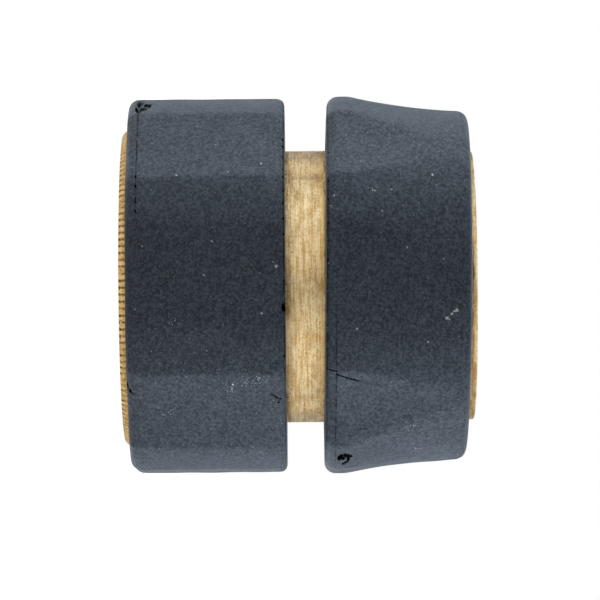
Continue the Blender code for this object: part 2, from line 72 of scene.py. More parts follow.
# %% A helper that turns a grid into a mesh
def skin(name, grid, wrap_rows=True, wrap_columns=True):
    """A mesh object from points of shape (rows, columns, 3) in millimetres."""
    rows, columns = grid.shape[:2]
    row = np.arange(rows if wrap_rows else rows - 1)
    column = np.arange(columns if wrap_columns else columns - 1)
    i, j = np.meshgrid(row, column, indexing="ij")
    here, above, next_j = i * columns, (i + 1) % rows * columns, (j + 1) % columns
    corners = (here + j, here + next_j, above + next_j, above + j)
    faces = np.stack(corners, axis=-1).reshape(-1, 4)
    mesh = bpy.data.meshes.new(name)
    mesh.from_pydata((grid.reshape(-1, 3) * MM).tolist(), [], faces.tolist())
    piece = bpy.data.objects.new(name, mesh)
    bpy.context.scene.collection.objects.link(piece)
    return piece


def ring_grid(radii, heights, angles):
    """Points at each radius and height, round the axis. Radii may be (rows, columns)."""
    radii = np.asarray(radii, float).reshape(len(heights), -1)
    radii = np.broadcast_to(radii, (len(heights), len(angles)))
    heights = np.broadcast_to(np.asarray(heights, float)[:, None], radii.shape)
    return np.stack((radii * np.cos(angles), radii * np.sin(angles), heights), axis=-1)


def even_angles(count):
    """Evenly spaced angles, one turn in all."""
    return np.arange(count) * TURN / count


print("six angles round the axis:", even_angles(6).round(2))


# %% Helpers that finish a piece and give it to its body
def change(mesh, action):
    """Open a mesh in bmesh, let an action change it, and write it back."""
    bm = bmesh.new()
    bm.from_mesh(mesh)
    action(bm)
    bm.to_mesh(mesh)
    bm.free()


def face_outwards(mesh):
    """Make all faces of a closed mesh face outwards."""
    change(mesh, lambda bm: bmesh.ops.recalc_face_normals(bm, faces=bm.faces))


def triangles(piece):
    """How many triangles a mesh piece has."""
    return sum(len(face.vertices) - 2 for face in piece.data.polygons)


def finish_piece(piece, body, node, material, crease_deg=35.0):
    """Smooth the piece, dress it and let it stand for its CAD node."""
    face_outwards(piece.data)
    piece.data.shade_smooth()
    piece.data.set_sharp_from_angle(angle=math.radians(crease_deg))
    piece.data.materials.clear()
    piece.data.materials.append(material)
    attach(piece, body)
    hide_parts(node)
    low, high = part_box(node)
    points = np.array([corner for corner in piece.bound_box])
    over = max((points.max(0) - np.array(high)).max(), (np.array(low) - points.min(0)).max())
    print(f"{piece.name}: {triangles(piece)} triangles, {over / MM:+.2f} mm past its solid's box")
    return piece


# %% [markdown]
# ## Sums on shader sockets
#
# A finish is a small network of nodes. Written node by node it is long and hard to read, so
# a tiny class wraps a socket and lets Python's own signs build the Math nodes. Colours and
# vectors never pass through a Math node, because that would turn a colour grey: they have
# their own Mix and Vector Math helpers.


# %% A socket that can do sums
class Signal:
    """An output socket whose sums become Math nodes."""

    def __init__(self, finish, socket):
        self.finish = finish
        self.socket = socket

    def __add__(self, other):
        return self.finish.math("ADD", self, other)

    def __sub__(self, other):
        return self.finish.math("SUBTRACT", self, other)

    def __rsub__(self, other):
        return self.finish.math("SUBTRACT", other, self)

    def __mul__(self, other):
        return self.finish.math("MULTIPLY", self, other)

    def __abs__(self):
        return self.finish.math("ABSOLUTE", self)

    __radd__ = __add__
    __rmul__ = __mul__


# %% A finish with one method for every node
class Finish:
    """A material, and the helpers that build its nodes."""

    def __init__(self, name, tree=None):
        if tree is None:
            self.material = bpy.data.materials.new(name)
            self.material.use_nodes = True
            tree = self.material.node_tree
        self.tree = tree
        self.tree.nodes.clear()

    def node(self, kind, settings=None, sockets=None):
        """A node of a kind: its settings first, then its sockets' values or links."""
        made = self.tree.nodes.new(kind)
        for key, value in (settings or {}).items():
            setattr(made, key, value)
        for key, value in (sockets or {}).items():
            if isinstance(value, Signal):
                self.tree.links.new(value.socket, made.inputs[key])
            else:
                made.inputs[key].default_value = value
        return made

    def signal(self, kind, settings=None, sockets=None, output=0):
        """The output of a new node."""
        return Signal(self, self.node(kind, settings, sockets).outputs[output])

    def math(self, operation, *values):
        """A Math node on numbers and signals."""
        return self.signal("ShaderNodeMath", {"operation": operation}, dict(enumerate(values)))

    def most(self, *values):
        """The largest of some values."""
        top = values[0]
        for value in values[1:]:
            top = self.math("MAXIMUM", top, value)
        return top

    def vector(self, operation, *values, output=0):
        """A Vector Math node."""
        settings = {"operation": operation}
        return self.signal("ShaderNodeVectorMath", settings, dict(enumerate(values)), output)

    def blend(self, share, first, second):
        """A colour between two colours."""
        sockets = {0: share}
        for key, colour in ((6, first), (7, second)):
            sockets[key] = colour if isinstance(colour, Signal) else (*colour, 1.0)
        return self.signal("ShaderNodeMix", {"data_type": "RGBA"}, sockets, 2)

    def rise(self, value, low, high):
        """A smooth step from 0 at low to 1 at high, or down where low is the larger."""
        settings = {"interpolation_type": "SMOOTHSTEP"}
        if low > high:
            return 1.0 - self.rise(value, high, low)
        sockets = {"Value": value, "From Min": low, "From Max": high}
        return self.signal("ShaderNodeMapRange", settings, sockets)

    def line(self, value, centre, reach, core):
        """1 in the core of a reach either side of a centre, falling to 0 at its edge."""
        return self.rise(abs(value - centre), reach, core * reach)

    def noise(self, place, scale, detail=2.0, roughness=0.5):
        """Soft noise from 0 to 1. A scale of 1 gives lumps about a unit apart."""
        sockets = {"Vector": place, "Scale": scale, "Detail": detail, "Roughness": roughness}
        return self.signal("ShaderNodeTexNoise", {}, sockets)

    def place(self, stretch=(1.0, 1.0, 1.0)):
        """The point on the piece in millimetres, stretched along each axis."""
        spot = self.signal("ShaderNodeTexCoord", {}, {}, "Object")
        return self.vector("MULTIPLY", spot, tuple(s / MM for s in stretch))

    def parts(self, vector):
        """The three numbers of a vector."""
        split = self.node("ShaderNodeSeparateXYZ", {}, {"Vector": vector})
        return [Signal(self, output) for output in split.outputs]

    def torn(self, spot, scale, reach):
        """The point pushed about by noise, which makes the edges of a blot ragged."""
        push = self.signal("ShaderNodeTexNoise", {}, {"Vector": spot, "Scale": scale}, 1)
        push = self.vector("SUBTRACT", push, (0.5,) * 3)
        return self.vector("ADD", spot, self.vector("MULTIPLY", push, (reach,) * 3))

    def blot(self, spot, centre, reach, soft):
        """1 inside an ellipsoid round a centre, falling to 0 at its edge."""
        away = self.vector("SUBTRACT", spot, tuple(centre))
        away = self.vector("MULTIPLY", away, tuple(1.0 / r for r in reach))
        return self.rise(self.vector("LENGTH", away, output="Value"), 1.0, soft)

    def cells(self, spot, scale):
        """For small random cells, the way to a cell's middle and the cell's own number."""
        made = self.node("ShaderNodeTexVoronoi", {}, {"Vector": spot, "Scale": scale})
        number = self.parts(Signal(self, made.outputs["Color"]))[0]
        return Signal(self, made.outputs["Distance"]), number

    def specks(self, spot, scale, size, share):
        """Round specks in a share of the cells, each cell one unit of scale."""
        away, number = self.cells(spot, scale)
        chosen = self.rise(number, 1.0 - share, 1.0 - share + 0.02)
        return self.rise(away, size, 0.5 * size) * chosen

    def bump(self, height, depth_mm):
        """A normal whose relief is as deep as depth_mm for a height of 1."""
        sockets = {"Strength": 1.0, "Distance": depth_mm * MM, "Height": height}
        return self.signal("ShaderNodeBump", {}, sockets)

    def surface(self, sockets, painted_shade=None):
        """Join a Principled shader to the output, mixed over to a black shader where painted shade
        is given.
        """
        shader = self.signal("ShaderNodeBsdfPrincipled", {}, sockets)
        if painted_shade is not None:
            # The black shader is painted shade, for the dark that falls inside pits, cuts and
            # nicks.
            black = {"Base Color": (0.001, 0.001, 0.001, 1.0), "Roughness": 1.0}
            black["Specular IOR Level"] = 0.0
            dark = self.signal("ShaderNodeBsdfPrincipled", {}, black)
            shader = self.signal("ShaderNodeMixShader", {}, {0: painted_shade, 1: shader, 2: dark})
        self.node("ShaderNodeOutputMaterial", {}, {"Surface": shader})
        print(f"{self.material.name}: {len(self.tree.nodes)} nodes")
        return self.material


# %% [markdown]
# ## Places read from the photograph
#
# The photograph looks at the connector from the side, so a mark on it is given by how far up
# the axis it lies and by its angle from the viewer, up the picture. The next helper turns
# that pair into a point, so that a dent in the mesh and a speck in a finish share one place.


# %% From a mark to a point
def polar(view_deg):
    """The angle round +Z of a mark seen view_deg up from the middle of the picture."""
    return math.radians(270.0 - view_deg) % TURN


def mark_point(view_deg, height, radius):
    """The point of a mark, in millimetres."""
    angle = polar(view_deg)
    return (radius * math.cos(angle), radius * math.sin(angle), height)


print("a mark at the top of the picture:", [round(c, 2) for c in mark_point(90, 10, 19)])

# %% [markdown]
# ## The shape of the grips
#
# Both grips are rounds with eight flats for the fingers. Where a flat meets the round there is
# a crease, and moulded rubber never has a sharp one: a smooth minimum of the two radii rounds
# it. Rubber shrinks as it cools, so each flat is a hair hollow. On the nut the flats run the
# whole length. On the sleeve they narrow to a point, because the round there flares in a hollow
# curve and each flat fades out of it: its half angle shrinks with the square root of what is
# left, which keeps its sides straight to the eye. The shape is written before the finishes, so
# that every mark can be put right on the surface.


# %% A round with eight flats
FLAT_SECTOR = TURN / 8.0
FLAT_START = math.radians(-4.0)
FLAT_HALF_ANGLE = math.radians(14.7)
CREASE = 0.10


def smooth_min(first, second, soft):
    """The smaller of two values, rounded over where they are nearly equal."""
    share = np.clip(0.5 + 0.5 * (second - first) / soft, 0.0, 1.0)
    return second * (1.0 - share) + first * share - soft * share * (1.0 - share)


def flat_sided(angles, radius, half_angle, hollow):
    """The radius at each angle of a round with eight hollow flats."""
    away = np.mod(angles - FLAT_START + 0.5 * FLAT_SECTOR, FLAT_SECTOR) - 0.5 * FLAT_SECTOR
    flat = radius * np.cos(half_angle) / np.cos(away)
    inside = (half_angle / FLAT_HALF_ANGLE) ** 2 - (away / FLAT_HALF_ANGLE) ** 2
    flat = flat - hollow * np.clip(inside, 0.0, 1.0)
    return smooth_min(np.broadcast_to(radius, flat.shape), flat, CREASE)


print("the flats cut in by", round(100.0 * (1.0 - math.cos(FLAT_HALF_ANGLE)), 1), "percent")

# %% [markdown]
# The sleeve's grip starts with a flange, for the thumb and finger that pull it back, and then
# flares in along a power of how far there is left to go. In the photograph it sits a little
# askew on its sleeve, by three quarters of a degree, so all its heights lean with x. Its flats
# are turned a degree against those of the nut.

# %% The flare, and points on both grips
# The ends are the lowest and the highest height, and the fillet at each.
NUT_GRIP_RADIUS = 19.0
NUT_GRIP_ENDS = (0.7, 16.12, 1.1, 0.8)
NUT_HOLLOW = 0.09
SLEEVE_GRIP_ENDS = (20.05, 34.1, 1.1, 1.1)
SLEEVE_HOLLOW = 0.22
FLANGE_RADIUS = 19.1
FLARE_END_RADIUS = 17.387
FLARE_START, FLARE_TOP, FLAT_APEX = 22.2, 34.1, 31.25
ASKEW = 0.0129
SLEEVE_TURN = math.radians(1.0)


def flare(heights):
    """The round radius of the sleeve's grip, with a soft corner at the flange."""
    left = np.clip((FLARE_TOP - heights) / (FLARE_TOP - FLARE_START), 0.0, 2.0)
    hollow = FLARE_END_RADIUS + (FLANGE_RADIUS - FLARE_END_RADIUS) * left**1.8
    return smooth_min(np.full_like(hollow, FLANGE_RADIUS), hollow, 0.10)


def flare_half_angle(heights):
    """The half angle of a flat, which is nothing at its point."""
    left = np.clip((FLAT_APEX - heights) / (FLAT_APEX - FLARE_START), 0.0, 1.0)
    return FLAT_HALF_ANGLE * np.sqrt(left)


def nut_round(angles, heights):
    """The radius of the nut's grip at each angle and height."""
    radius = np.full_like(heights, NUT_GRIP_RADIUS)
    return flat_sided(angles, radius, FLAT_HALF_ANGLE, NUT_HOLLOW)


def sleeve_round(angles, heights):
    """The radius of the sleeve's grip at each angle and height."""
    half_angle = flare_half_angle(heights)
    return flat_sided(angles + SLEEVE_TURN, flare(heights), half_angle, SLEEVE_HOLLOW)


def drawn_in(height, low, high, low_fillet, high_fillet):
    """How far a grip's round ends draw its surface in at a height."""
    ends = ((low + low_fillet - height, low_fillet), (height + high_fillet - high, high_fillet))
    for past, fillet in ends:
        if past > 0.0:
            return fillet * (1.0 - math.sqrt(max(0.0, 1.0 - (past / fillet) ** 2)))
    return 0.0


def on_nut(view_deg, height):
    """The point of a mark on the nut's grip."""
    radius = nut_round(polar(view_deg), np.float64(height))
    return mark_point(view_deg, height, float(radius) - drawn_in(height, *NUT_GRIP_ENDS))


def on_sleeve(view_deg, height):
    """The point of a mark on the sleeve's grip."""
    radius = sleeve_round(polar(view_deg), np.float64(height))
    x, y, z = mark_point(view_deg, height, float(radius) - drawn_in(height, *SLEEVE_GRIP_ENDS))
    return (x, y, z - ASKEW * x)


print("a mark on a flat and one on a round:", round(on_nut(4, 8)[1], 2), round(on_nut(26, 8)[1], 2))

# %% [markdown]
# ## Brass
#
# Brass is a yellow metal, so all its colour is in its reflections: Metallic is 1, less where
# dirt or painted shade lies on it, and Base Color is the tint. Turning leaves fine rings, which are
# noise squeezed along the axis until it is drawn out round it. Handling leaves dull blotches and
# dark specks.
# Where rubber ends on it there is a brown line of painted shade, for the shadow at the rubber's
# edge, with a golden one inside it.
# The body and the sleeve share one recipe.


# %% Turned brass
BRASS_LIGHT = (0.95, 0.80, 0.505)
BRASS_DARK = (0.54, 0.36, 0.15)
BRASS_TARNISH = (0.48, 0.29, 0.09)
BRASS_GOLD = (0.82, 0.54, 0.17)
# The brown of the stains and specks, and of the painted shade lines at the rubber's edges.
BRASS_STAIN_AND_SHADE = (0.22, 0.115, 0.035)


def turned_brass(name, stains=(), painted_shade_lines=(), golden=0.0, pitted=0.03, dull=0.0):
    """Brass off the lathe, with stains at points and lines of painted shade at heights."""
    f = Finish(name)
    spot = f.place()
    rings = f.noise(f.place((0.15, 0.15, 5.0)), 1.0, 5.0, 0.75)
    dashes = f.noise(f.place((0.8, 0.8, 6.0)), 1.0, 3.0, 0.7)
    clouds = f.noise(spot, 0.55, 4.0, 0.65)
    grain = f.noise(spot, 5.0, 2.0, 0.7)
    shade = rings * 0.4 + dashes * 0.2 + clouds * 0.2 + grain * 0.2
    colour = f.blend(f.rise(shade, 0.42, 0.56), BRASS_DARK, BRASS_LIGHT)
    tarnish = f.rise(f.noise(f.place((0.5, 0.5, 1.1)), 0.7, 4.0, 0.7), 0.46, 0.66)
    colour = f.blend(tarnish * 0.5, colour, BRASS_TARNISH)
    small, large = f.specks(spot, 2.6, 0.16, pitted * 2.0), f.specks(spot, 1.1, 0.15, pitted)
    dirt = f.most(small * 0.8, large * 0.9)
    torn = f.torn(spot, 1.6, 0.5)
    for centre, reach, depth in stains:
        dirt = f.most(dirt, f.blot(torn, centre, reach, 0.35) * depth)
    height = f.parts(spot)[2] + (f.noise(spot, 0.8, 3.0) - 0.5) * 0.5
    colour = f.blend(f.line(height, golden, 0.40, 0.25) * 0.45, colour, BRASS_GOLD)
    # Painted shade: a dark brown line on the brass where a grip's rubber ends, for the shadow at
    # its edge.
    for centre, reach, depth in painted_shade_lines:
        line = f.line(height, centre, reach, 0.3) * f.rise(clouds, 0.3, 0.62)
        dirt = f.most(dirt, line * depth)
    # dirt holds the specks, the stains and the painted shade lines, which all darken to one brown.
    colour = f.blend(dirt, colour, BRASS_STAIN_AND_SHADE)
    rough = 0.24 + dull + 0.16 * f.rise(clouds, 0.35, 0.7) + 0.25 * dirt
    relief = rings * 0.5 + dashes * 0.3 + grain * 0.2 - dirt * 0.5
    return f.surface({
        "Base Color": colour, "Metallic": 1.0 - 0.3 * dirt, "Roughness": rough,
        "Normal": f.bump(relief, 0.010),
    })


BODY_RADIUS = 13.55
body_stains = [
    (mark_point(view_deg, height, BODY_RADIUS), reach, depth)
    for view_deg, height, reach, depth in (
        (52.5, 16.55, (1.8, 2.0, 0.20), 0.70), (51.0, 16.85, (2.2, 2.4, 0.12), 0.60),
        (45.0, 16.7, (3.2, 3.2, 0.07), 0.50), (41.0, 17.3, (1.3, 1.3, 0.28), 0.45),
        (51.5, 18.8, (0.35, 0.6, 2.4), 0.40), (2.0, 16.5, (3.0, 1.5, 0.25), 0.18),
        (14.0, 16.75, (0.16, 0.3, 0.12), 0.95), (-10.0, 16.3, (0.8, 0.8, 0.3), 0.5),
    )
]
# The line at 20.02 on the body and the one at 34.20 on the sleeve are painted shade at the rubber's
# edges.
body_brass = turned_brass("turned_body_brass", body_stains, ((20.02, 0.14, 0.9),), 19.75)
sleeve_brass = turned_brass(
    "turned_sleeve_brass", painted_shade_lines=((34.20, 0.20, 0.9),), pitted=0.12, dull=0.14)

# %% [markdown]
# The nut is a redder brass, and its outside is knurled: a roller pressed teeth into it, and the
# ends of the grooves between them hold dirt that a cloth never reaches. The angle round the
# axis says how far a point is from a groove, so the dirt is driven by a count of teeth.

# %% Knurled brass
NUT_RADIUS = 15.7
KNURL_DEPTH = 0.20
KNURL_DARK = (0.42, 0.27, 0.09)
KNURL_LIGHT = (0.74, 0.51, 0.21)
KNURL_DIRT = (0.10, 0.055, 0.02)
TEETH = 144


def knurled_brass(name):
    """Brass with dirt at the ends of the grooves of its knurl."""
    f = Finish(name)
    spot = f.place()
    clouds = f.noise(spot, 1.1, 3.0, 0.6)
    grain = f.noise(spot, 5.0, 3.0, 0.7)
    x, y, height = f.parts(spot)
    turns = f.math("ARCTAN2", y, x) * (TEETH / TURN) + (grain - 0.5) * 0.5
    from_groove = abs(f.math("FRACT", turns + 0.5) - 0.5)
    groove = f.rise(from_groove, 0.30, 0.08)
    low_end = f.rise(height + (grain - 0.5) * 0.3, 0.34, 0.16)
    dirt = groove * (0.25 + 0.65 * low_end) * f.rise(clouds, 0.40, 0.54)
    dirt = f.most(dirt, f.specks(spot, 2.2, 0.20, 0.20) * 0.8)
    colour = f.blend(f.rise(clouds * 0.4 + grain * 0.6, 0.40, 0.60), KNURL_DARK, KNURL_LIGHT)
    colour = f.blend(dirt, colour, KNURL_DIRT)
    return f.surface({
        "Base Color": colour, "Metallic": 1.0 - 0.6 * dirt, "Roughness": 0.32 + 0.3 * dirt,
        "Normal": f.bump(grain, 0.012),
    })


nut_brass = knurled_brass("knurled_nut_brass")

# %% [markdown]
# ## Moulded rubber
#
# The grips are a dark, slightly blue rubber that came matt out of its mould. Its grain is fine
# noise in the bump, and its grey shifts a little over a few millimetres. Old rubber collects
# pale dust, which shows as specks: most are strewn at random, and the ones the photograph shows
# plainly are put in their places one by one. A little Sheen gives the dusty glow at the outline.
# Pits, cuts and the nicks along an edge get painted shade: there the surface mixes over to a
# second shader that gives nothing back, for the dark that falls inside them.

# %% Dusty rubber
RUBBER_DARK = (0.0105, 0.0150, 0.0220)
RUBBER_LIGHT = (0.0385, 0.0500, 0.0650)
RUBBER_DUST = (0.34, 0.35, 0.35)
RUBBER_BLACK = (0.0015, 0.0018, 0.002)


def moulded_rubber(name, dust=(), clusters=(), shaded_hollows=(), dark_lines=(), askew=0.0):
    """Matt rubber with strewn dust, placed specks, painted shade in its hollows and dark lines
    round it.
    """
    f = Finish(name)
    spot = f.place()
    grain = f.noise(spot, 3.2, 4.0, 0.8)
    lumps = f.noise(spot, 1.3, 3.0, 0.6)
    clouds = f.noise(spot, 0.28, 3.0, 0.55)
    fine, coarse = f.cells(spot, 8.0)[1], f.cells(spot, 4.0)[1]
    shade = grain * 0.62 + lumps * 0.12 + clouds * 0.08 + fine * 0.10 + coarse * 0.08
    colour = f.blend(f.rise(shade, 0.40, 0.60), RUBBER_DARK, RUBBER_LIGHT)
    pores = f.specks(spot, 2.3, 0.22, 0.14) * 0.6
    colour = f.blend(pores, colour, RUBBER_BLACK)
    strewn = ((3.0, 0.24, 0.20, 0.22), (1.4, 0.11, 0.10, 0.30), (0.8, 0.07, 0.12, 0.40))
    pale = f.most(*(f.specks(spot, scale, *size) * part for scale, *size, part in strewn))
    torn = f.torn(spot, 4.0, 0.30)
    for centre, reach in dust:
        pale = f.most(pale, f.blot(torn, centre, (reach,) * 3, 0.4) * 0.8)
    dense = f.specks(spot, 4.6, 0.34, 0.70) * 0.75
    for centre, reach in clusters:
        pale = f.most(pale, f.blot(spot, centre, (reach,) * 3, 0.3) * dense)
    colour = f.blend(pale, colour, RUBBER_DUST)
    # Painted shade: each hollow is mixed over to the black shader, for the dark inside pits, cuts
    # and nicks.
    black = f.most(0.0, *(f.blot(torn, centre, reach, 0.55) for centre, reach in shaded_hollows))
    x, y, z = f.parts(spot)
    outside = f.rise(f.math("SQRT", x * x + y * y), 17.0, 17.5)
    # Dark lines round the grip: one along the moulding line, and one of painted shade along the
    # edge where the grip meets the brass.
    for height, width, centre, reach in dark_lines:
        line = f.line(z + x * askew, height, width, 0.35)
        line = line * f.blot(torn, centre, (reach,) * 3, 0.3) * f.rise(lumps, 0.36, 0.50)
        black = f.most(black, line * outside * 0.45)
    colour = f.blend(black, colour, RUBBER_BLACK)
    relief = grain * 0.7 + lumps * 0.3 + pale * 0.3
    return f.surface({
        "Base Color": colour, "Roughness": 0.52 + 0.16 * clouds + 0.3 * black,
        "Specular IOR Level": 0.18, "Sheen Weight": 0.14, "Sheen Roughness": 0.35,
        "Sheen Tint": (0.75, 0.9, 1.0, 1.0), "Normal": f.bump(relief, 0.07),
    }, black)


print("rubber from", RUBBER_DARK, "to", RUBBER_LIGHT)

# %% [markdown]
# The next tables hold the marks that the photograph shows: where each one is and how large. Dust
# is a round speck with one reach, and a hollow is an ellipsoid, so it has three. A hollow is
# painted shade, drawn black. A cut is a row of small hollows, and so are the nicks along an edge.


# %% Put marks on a surface
def marks(surface, rows):
    """(point, reach) of each mark, from rows of (view_deg, height, reach)."""
    return [(surface(view_deg, height), reach) for view_deg, height, reach in rows]


def marks_along(surface, ends, reach, count):
    """Marks for a cut, spaced along a surface between two (view_deg, height)."""
    (view_a, low), (view_b, high) = ends
    steps = [k / (count - 1) for k in range(count)]
    rows = [(view_a + (view_b - view_a) * t, low + (high - low) * t, reach) for t in steps]
    return marks(surface, rows)


def nicks(surface, height, depth, rows):
    """Marks along an edge at a height, from rows of (view_deg, size)."""
    return marks(surface, [(view, height, (0.5 * size, 0.6 * size, depth)) for view, size in rows])


# %% The nut grip's marks
NUT_SEAM, NUT_EDGE = 1.78, 15.98
nut_dust = marks(on_nut, (
    (6.0, 15.25, 0.20), (7.3, 15.0, 0.09), (3.6, 8.34, 0.14), (12.3, 2.43, 0.14),
    (13.6, 9.13, 0.12), (34.8, 5.66, 0.12), (35.9, 10.67, 0.11), (39.7, 13.85, 0.12),
    (-7.9, 13.82, 0.17), (-6.5, 1.7, 0.12), (-18.8, 3.25, 0.10), (-18.7, 8.53, 0.10),
    (-30.2, 10.98, 0.12), (-27.5, 13.5, 0.11),
))
nut_clusters = marks(on_nut, (
    (-28.1, 13.7, 1.0), (-29.2, 12.7, 0.8), (-30.2, 11.9, 0.9), (-31.9, 10.6, 0.9),
    (-41.8, 4.5, 0.9), (-10.5, 5.4, 0.9),
))
# Painted shade in the pits, the splits and the tear: each hollow is drawn black.
nut_shaded_hollows = marks(on_nut, (
    (73.6, 1.80, (0.60, 0.90, 0.26)), (67.3, 1.75, (0.60, 1.10, 0.30)),
    (68.6, 1.62, (0.60, 1.00, 0.25)), (66.4, 1.95, (0.50, 1.00, 0.22)),
    (69.8, 1.98, (0.70, 1.20, 0.24)), (71.6, 2.40, (0.45, 0.60, 0.16)),
    (71.0, 2.85, (0.45, 0.60, 0.15)), (68.1, 2.48, (0.45, 0.70, 0.17)),
    (71.6, 2.62, (0.40, 0.50, 0.14)), (69.4, 2.72, (0.40, 0.50, 0.12)),
    (67.9, 2.25, (0.40, 0.80, 0.16)), (69.6, 2.90, (0.45, 0.45, 0.13)),
    (34.5, 1.78, (0.30, 0.45, 0.10)), (31.0, 1.76, (0.25, 0.35, 0.10)),
    (26.2, 1.78, (0.40, 0.60, 0.09)), (22.5, 1.79, (0.20, 0.30, 0.09)),
    (-31.5, 0.80, (0.50, 0.50, 0.16)), (-33.2, 1.05, (0.30, 0.30, 0.14)),
    (-6.4, NUT_EDGE, (0.55, 0.80, 0.36)), (-37.6, 15.35, (0.14, 0.3, 0.12)),
))
# Painted shade: black nicks along the grip's edge next to the brass band.
nut_shaded_hollows += nicks(on_nut, NUT_EDGE, 0.17, (
    (52.5, 0.6), (49.0, 0.6), (44.0, 0.4), (38.0, 0.35), (34.4, 0.55), (29.5, 0.35), (25.4, 0.5),
    (20.4, 0.5), (15.9, 0.45), (9.0, 0.3), (1.5, 0.35), (-12.0, 0.3), (-21.0, 0.35),
))
nut_shaded_hollows += marks_along(on_nut, ((-34.4, 14.79), (-36.4, 15.54)), (0.10, 0.3, 0.14), 5)
# The first line darkens the moulding line; the second is painted shade along the edge next to the
# brass band.
nut_dark_lines = (
    (NUT_SEAM, 0.10, on_nut(55.0, NUT_SEAM), 11.0), (16.06, 0.20, on_nut(15.0, 15.9), 30.0))
nut_rubber = moulded_rubber("nut_grip_rubber", nut_dust, nut_clusters, nut_shaded_hollows, nut_dark_lines)

# %% The sleeve grip's marks
SLEEVE_SEAM, SLEEVE_EDGE = 21.05, 20.18
sleeve_dust = marks(on_sleeve, (
    (37.4, 30.3, 0.16), (29.4, 24.64, 0.11), (30.7, 26.28, 0.10), (40.8, 23.34, 0.10),
    (11.8, 27.77, 0.10), (8.2, 31.29, 0.12), (7.0, 20.26, 0.11), (27.1, 20.74, 0.11),
    (22.9, 25.39, 0.09), (-8.0, 32.58, 0.24), (-8.3, 32.35, 0.14), (-9.2, 32.1, 0.16),
    (-10.5, 31.62, 0.22), (-11.0, 31.85, 0.12), (-12.7, 22.98, 0.12), (-18.0, 29.82, 0.12),
))
sleeve_clusters = marks(on_sleeve, (
    (29.6, 24.5, 0.8), (-51.2, 28.5, 0.9), (-64.1, 29.16, 0.6), (24.0, 20.6, 0.6),
))
# Painted shade in the pits and along the crack: each hollow is drawn black.
sleeve_shaded_hollows = marks(on_sleeve, (
    (-62.0, 21.42, (0.45, 0.9, 0.24)), (-60.8, 21.66, (0.45, 0.9, 0.26)),
    (-60.2, 21.98, (0.42, 0.8, 0.26)), (-60.5, 22.28, (0.36, 0.7, 0.24)),
    (-61.2, 22.55, (0.26, 0.5, 0.18)), (-62.6, 22.32, (0.42, 0.8, 0.20)),
    (-63.6, 22.28, (0.30, 0.6, 0.12)), (-64.6, 22.18, (0.30, 0.6, 0.12)),
    (-65.4, 22.00, (0.28, 0.6, 0.13)), (-66.1, 21.78, (0.24, 0.5, 0.13)),
    (-62.4, 21.80, (0.20, 0.5, 0.20)),
))
sleeve_shaded_hollows += marks_along(on_sleeve, ((-25.4, 20.15), (-25.3, 21.05)), (0.07, 0.3, 0.16), 5)
sleeve_shaded_hollows += marks_along(on_sleeve, ((-25.6, 21.08), (-26.6, 21.15)), (0.10, 0.3, 0.07), 3)
sleeve_shaded_hollows += marks_along(on_sleeve, ((-26.9, 21.25), (-29.6, 23.15)), (0.06, 0.3, 0.15), 9)
# Painted shade: black nicks along the flange's edge next to the brass band.
sleeve_shaded_hollows += nicks(on_sleeve, SLEEVE_EDGE, 0.14, (
    (47.0, 0.4), (41.0, 0.25), (33.0, 0.35), (26.5, 0.3), (19.0, 0.3), (14.0, 0.25), (8.0, 0.35),
    (1.0, 0.25),
))
# The first line darkens the moulding line; the second is painted shade along the edge next to the
# brass band.
sleeve_dark_lines = (
    (SLEEVE_SEAM, 0.10, on_sleeve(-35.0, SLEEVE_SEAM), 13.0),
    (20.10, 0.20, on_sleeve(10.0, 20.2), 30.0))
sleeve_rubber = moulded_rubber(
    "sleeve_grip_rubber", sleeve_dust, sleeve_clusters, sleeve_shaded_hollows, sleeve_dark_lines, ASKEW)

# %% [markdown]
# ## Finishes that hardly show
#
# Down in the socket and inside the nut there are a bright spring wire, hard polished balls, a
# soft black seal and a white nylon clamp ring. They get the same care on a smaller budget: one
# noise for the wear, one for the fine grain, and a bump.


# %% Steel, seal and nylon
def plain_finish(name, dark, light, metallic, roughness, scale, depth_mm):
    """A finish of two close colours, with fine grain and slow wear."""
    f = Finish(name)
    grain = f.noise(f.place(), scale, 3.0, 0.6)
    wear = f.noise(f.place(), 0.7, 2.0)
    colour = f.blend(f.rise(grain * 0.6 + wear * 0.4, 0.38, 0.62), dark, light)
    return f.surface({
        "Base Color": colour, "Metallic": metallic, "Roughness": roughness + 0.12 * wear,
        "Normal": f.bump(grain, depth_mm),
    })


spring_wire = plain_finish(
    "spring_wire", (0.32, 0.31, 0.29), (0.56, 0.55, 0.53), 1.0, 0.25, 3.0, 0.006)
polished_steel = plain_finish(
    "polished_ball_steel", (0.58, 0.58, 0.59), (0.70, 0.70, 0.71), 1.0, 0.07, 5.0, 0.001)
seal_rubber = plain_finish(
    "seal_rubber", (0.010, 0.010, 0.011), (0.022, 0.022, 0.024), 0.0, 0.38, 4.0, 0.01)
nylon = plain_finish(
    "clamp_nylon", (0.62, 0.61, 0.56), (0.74, 0.73, 0.69), 0.0, 0.45, 2.5, 0.01)

# %% [markdown]
# ## Sections with rounded corners
#
# No real corner is perfectly sharp, and it is the small rounds that catch the light. So each
# turned section is written as corners with a fillet, and one helper rounds them. A Bevel
# modifier could do it on the finished mesh, but here the rounds are wanted before the thread
# and the knurl are cut.


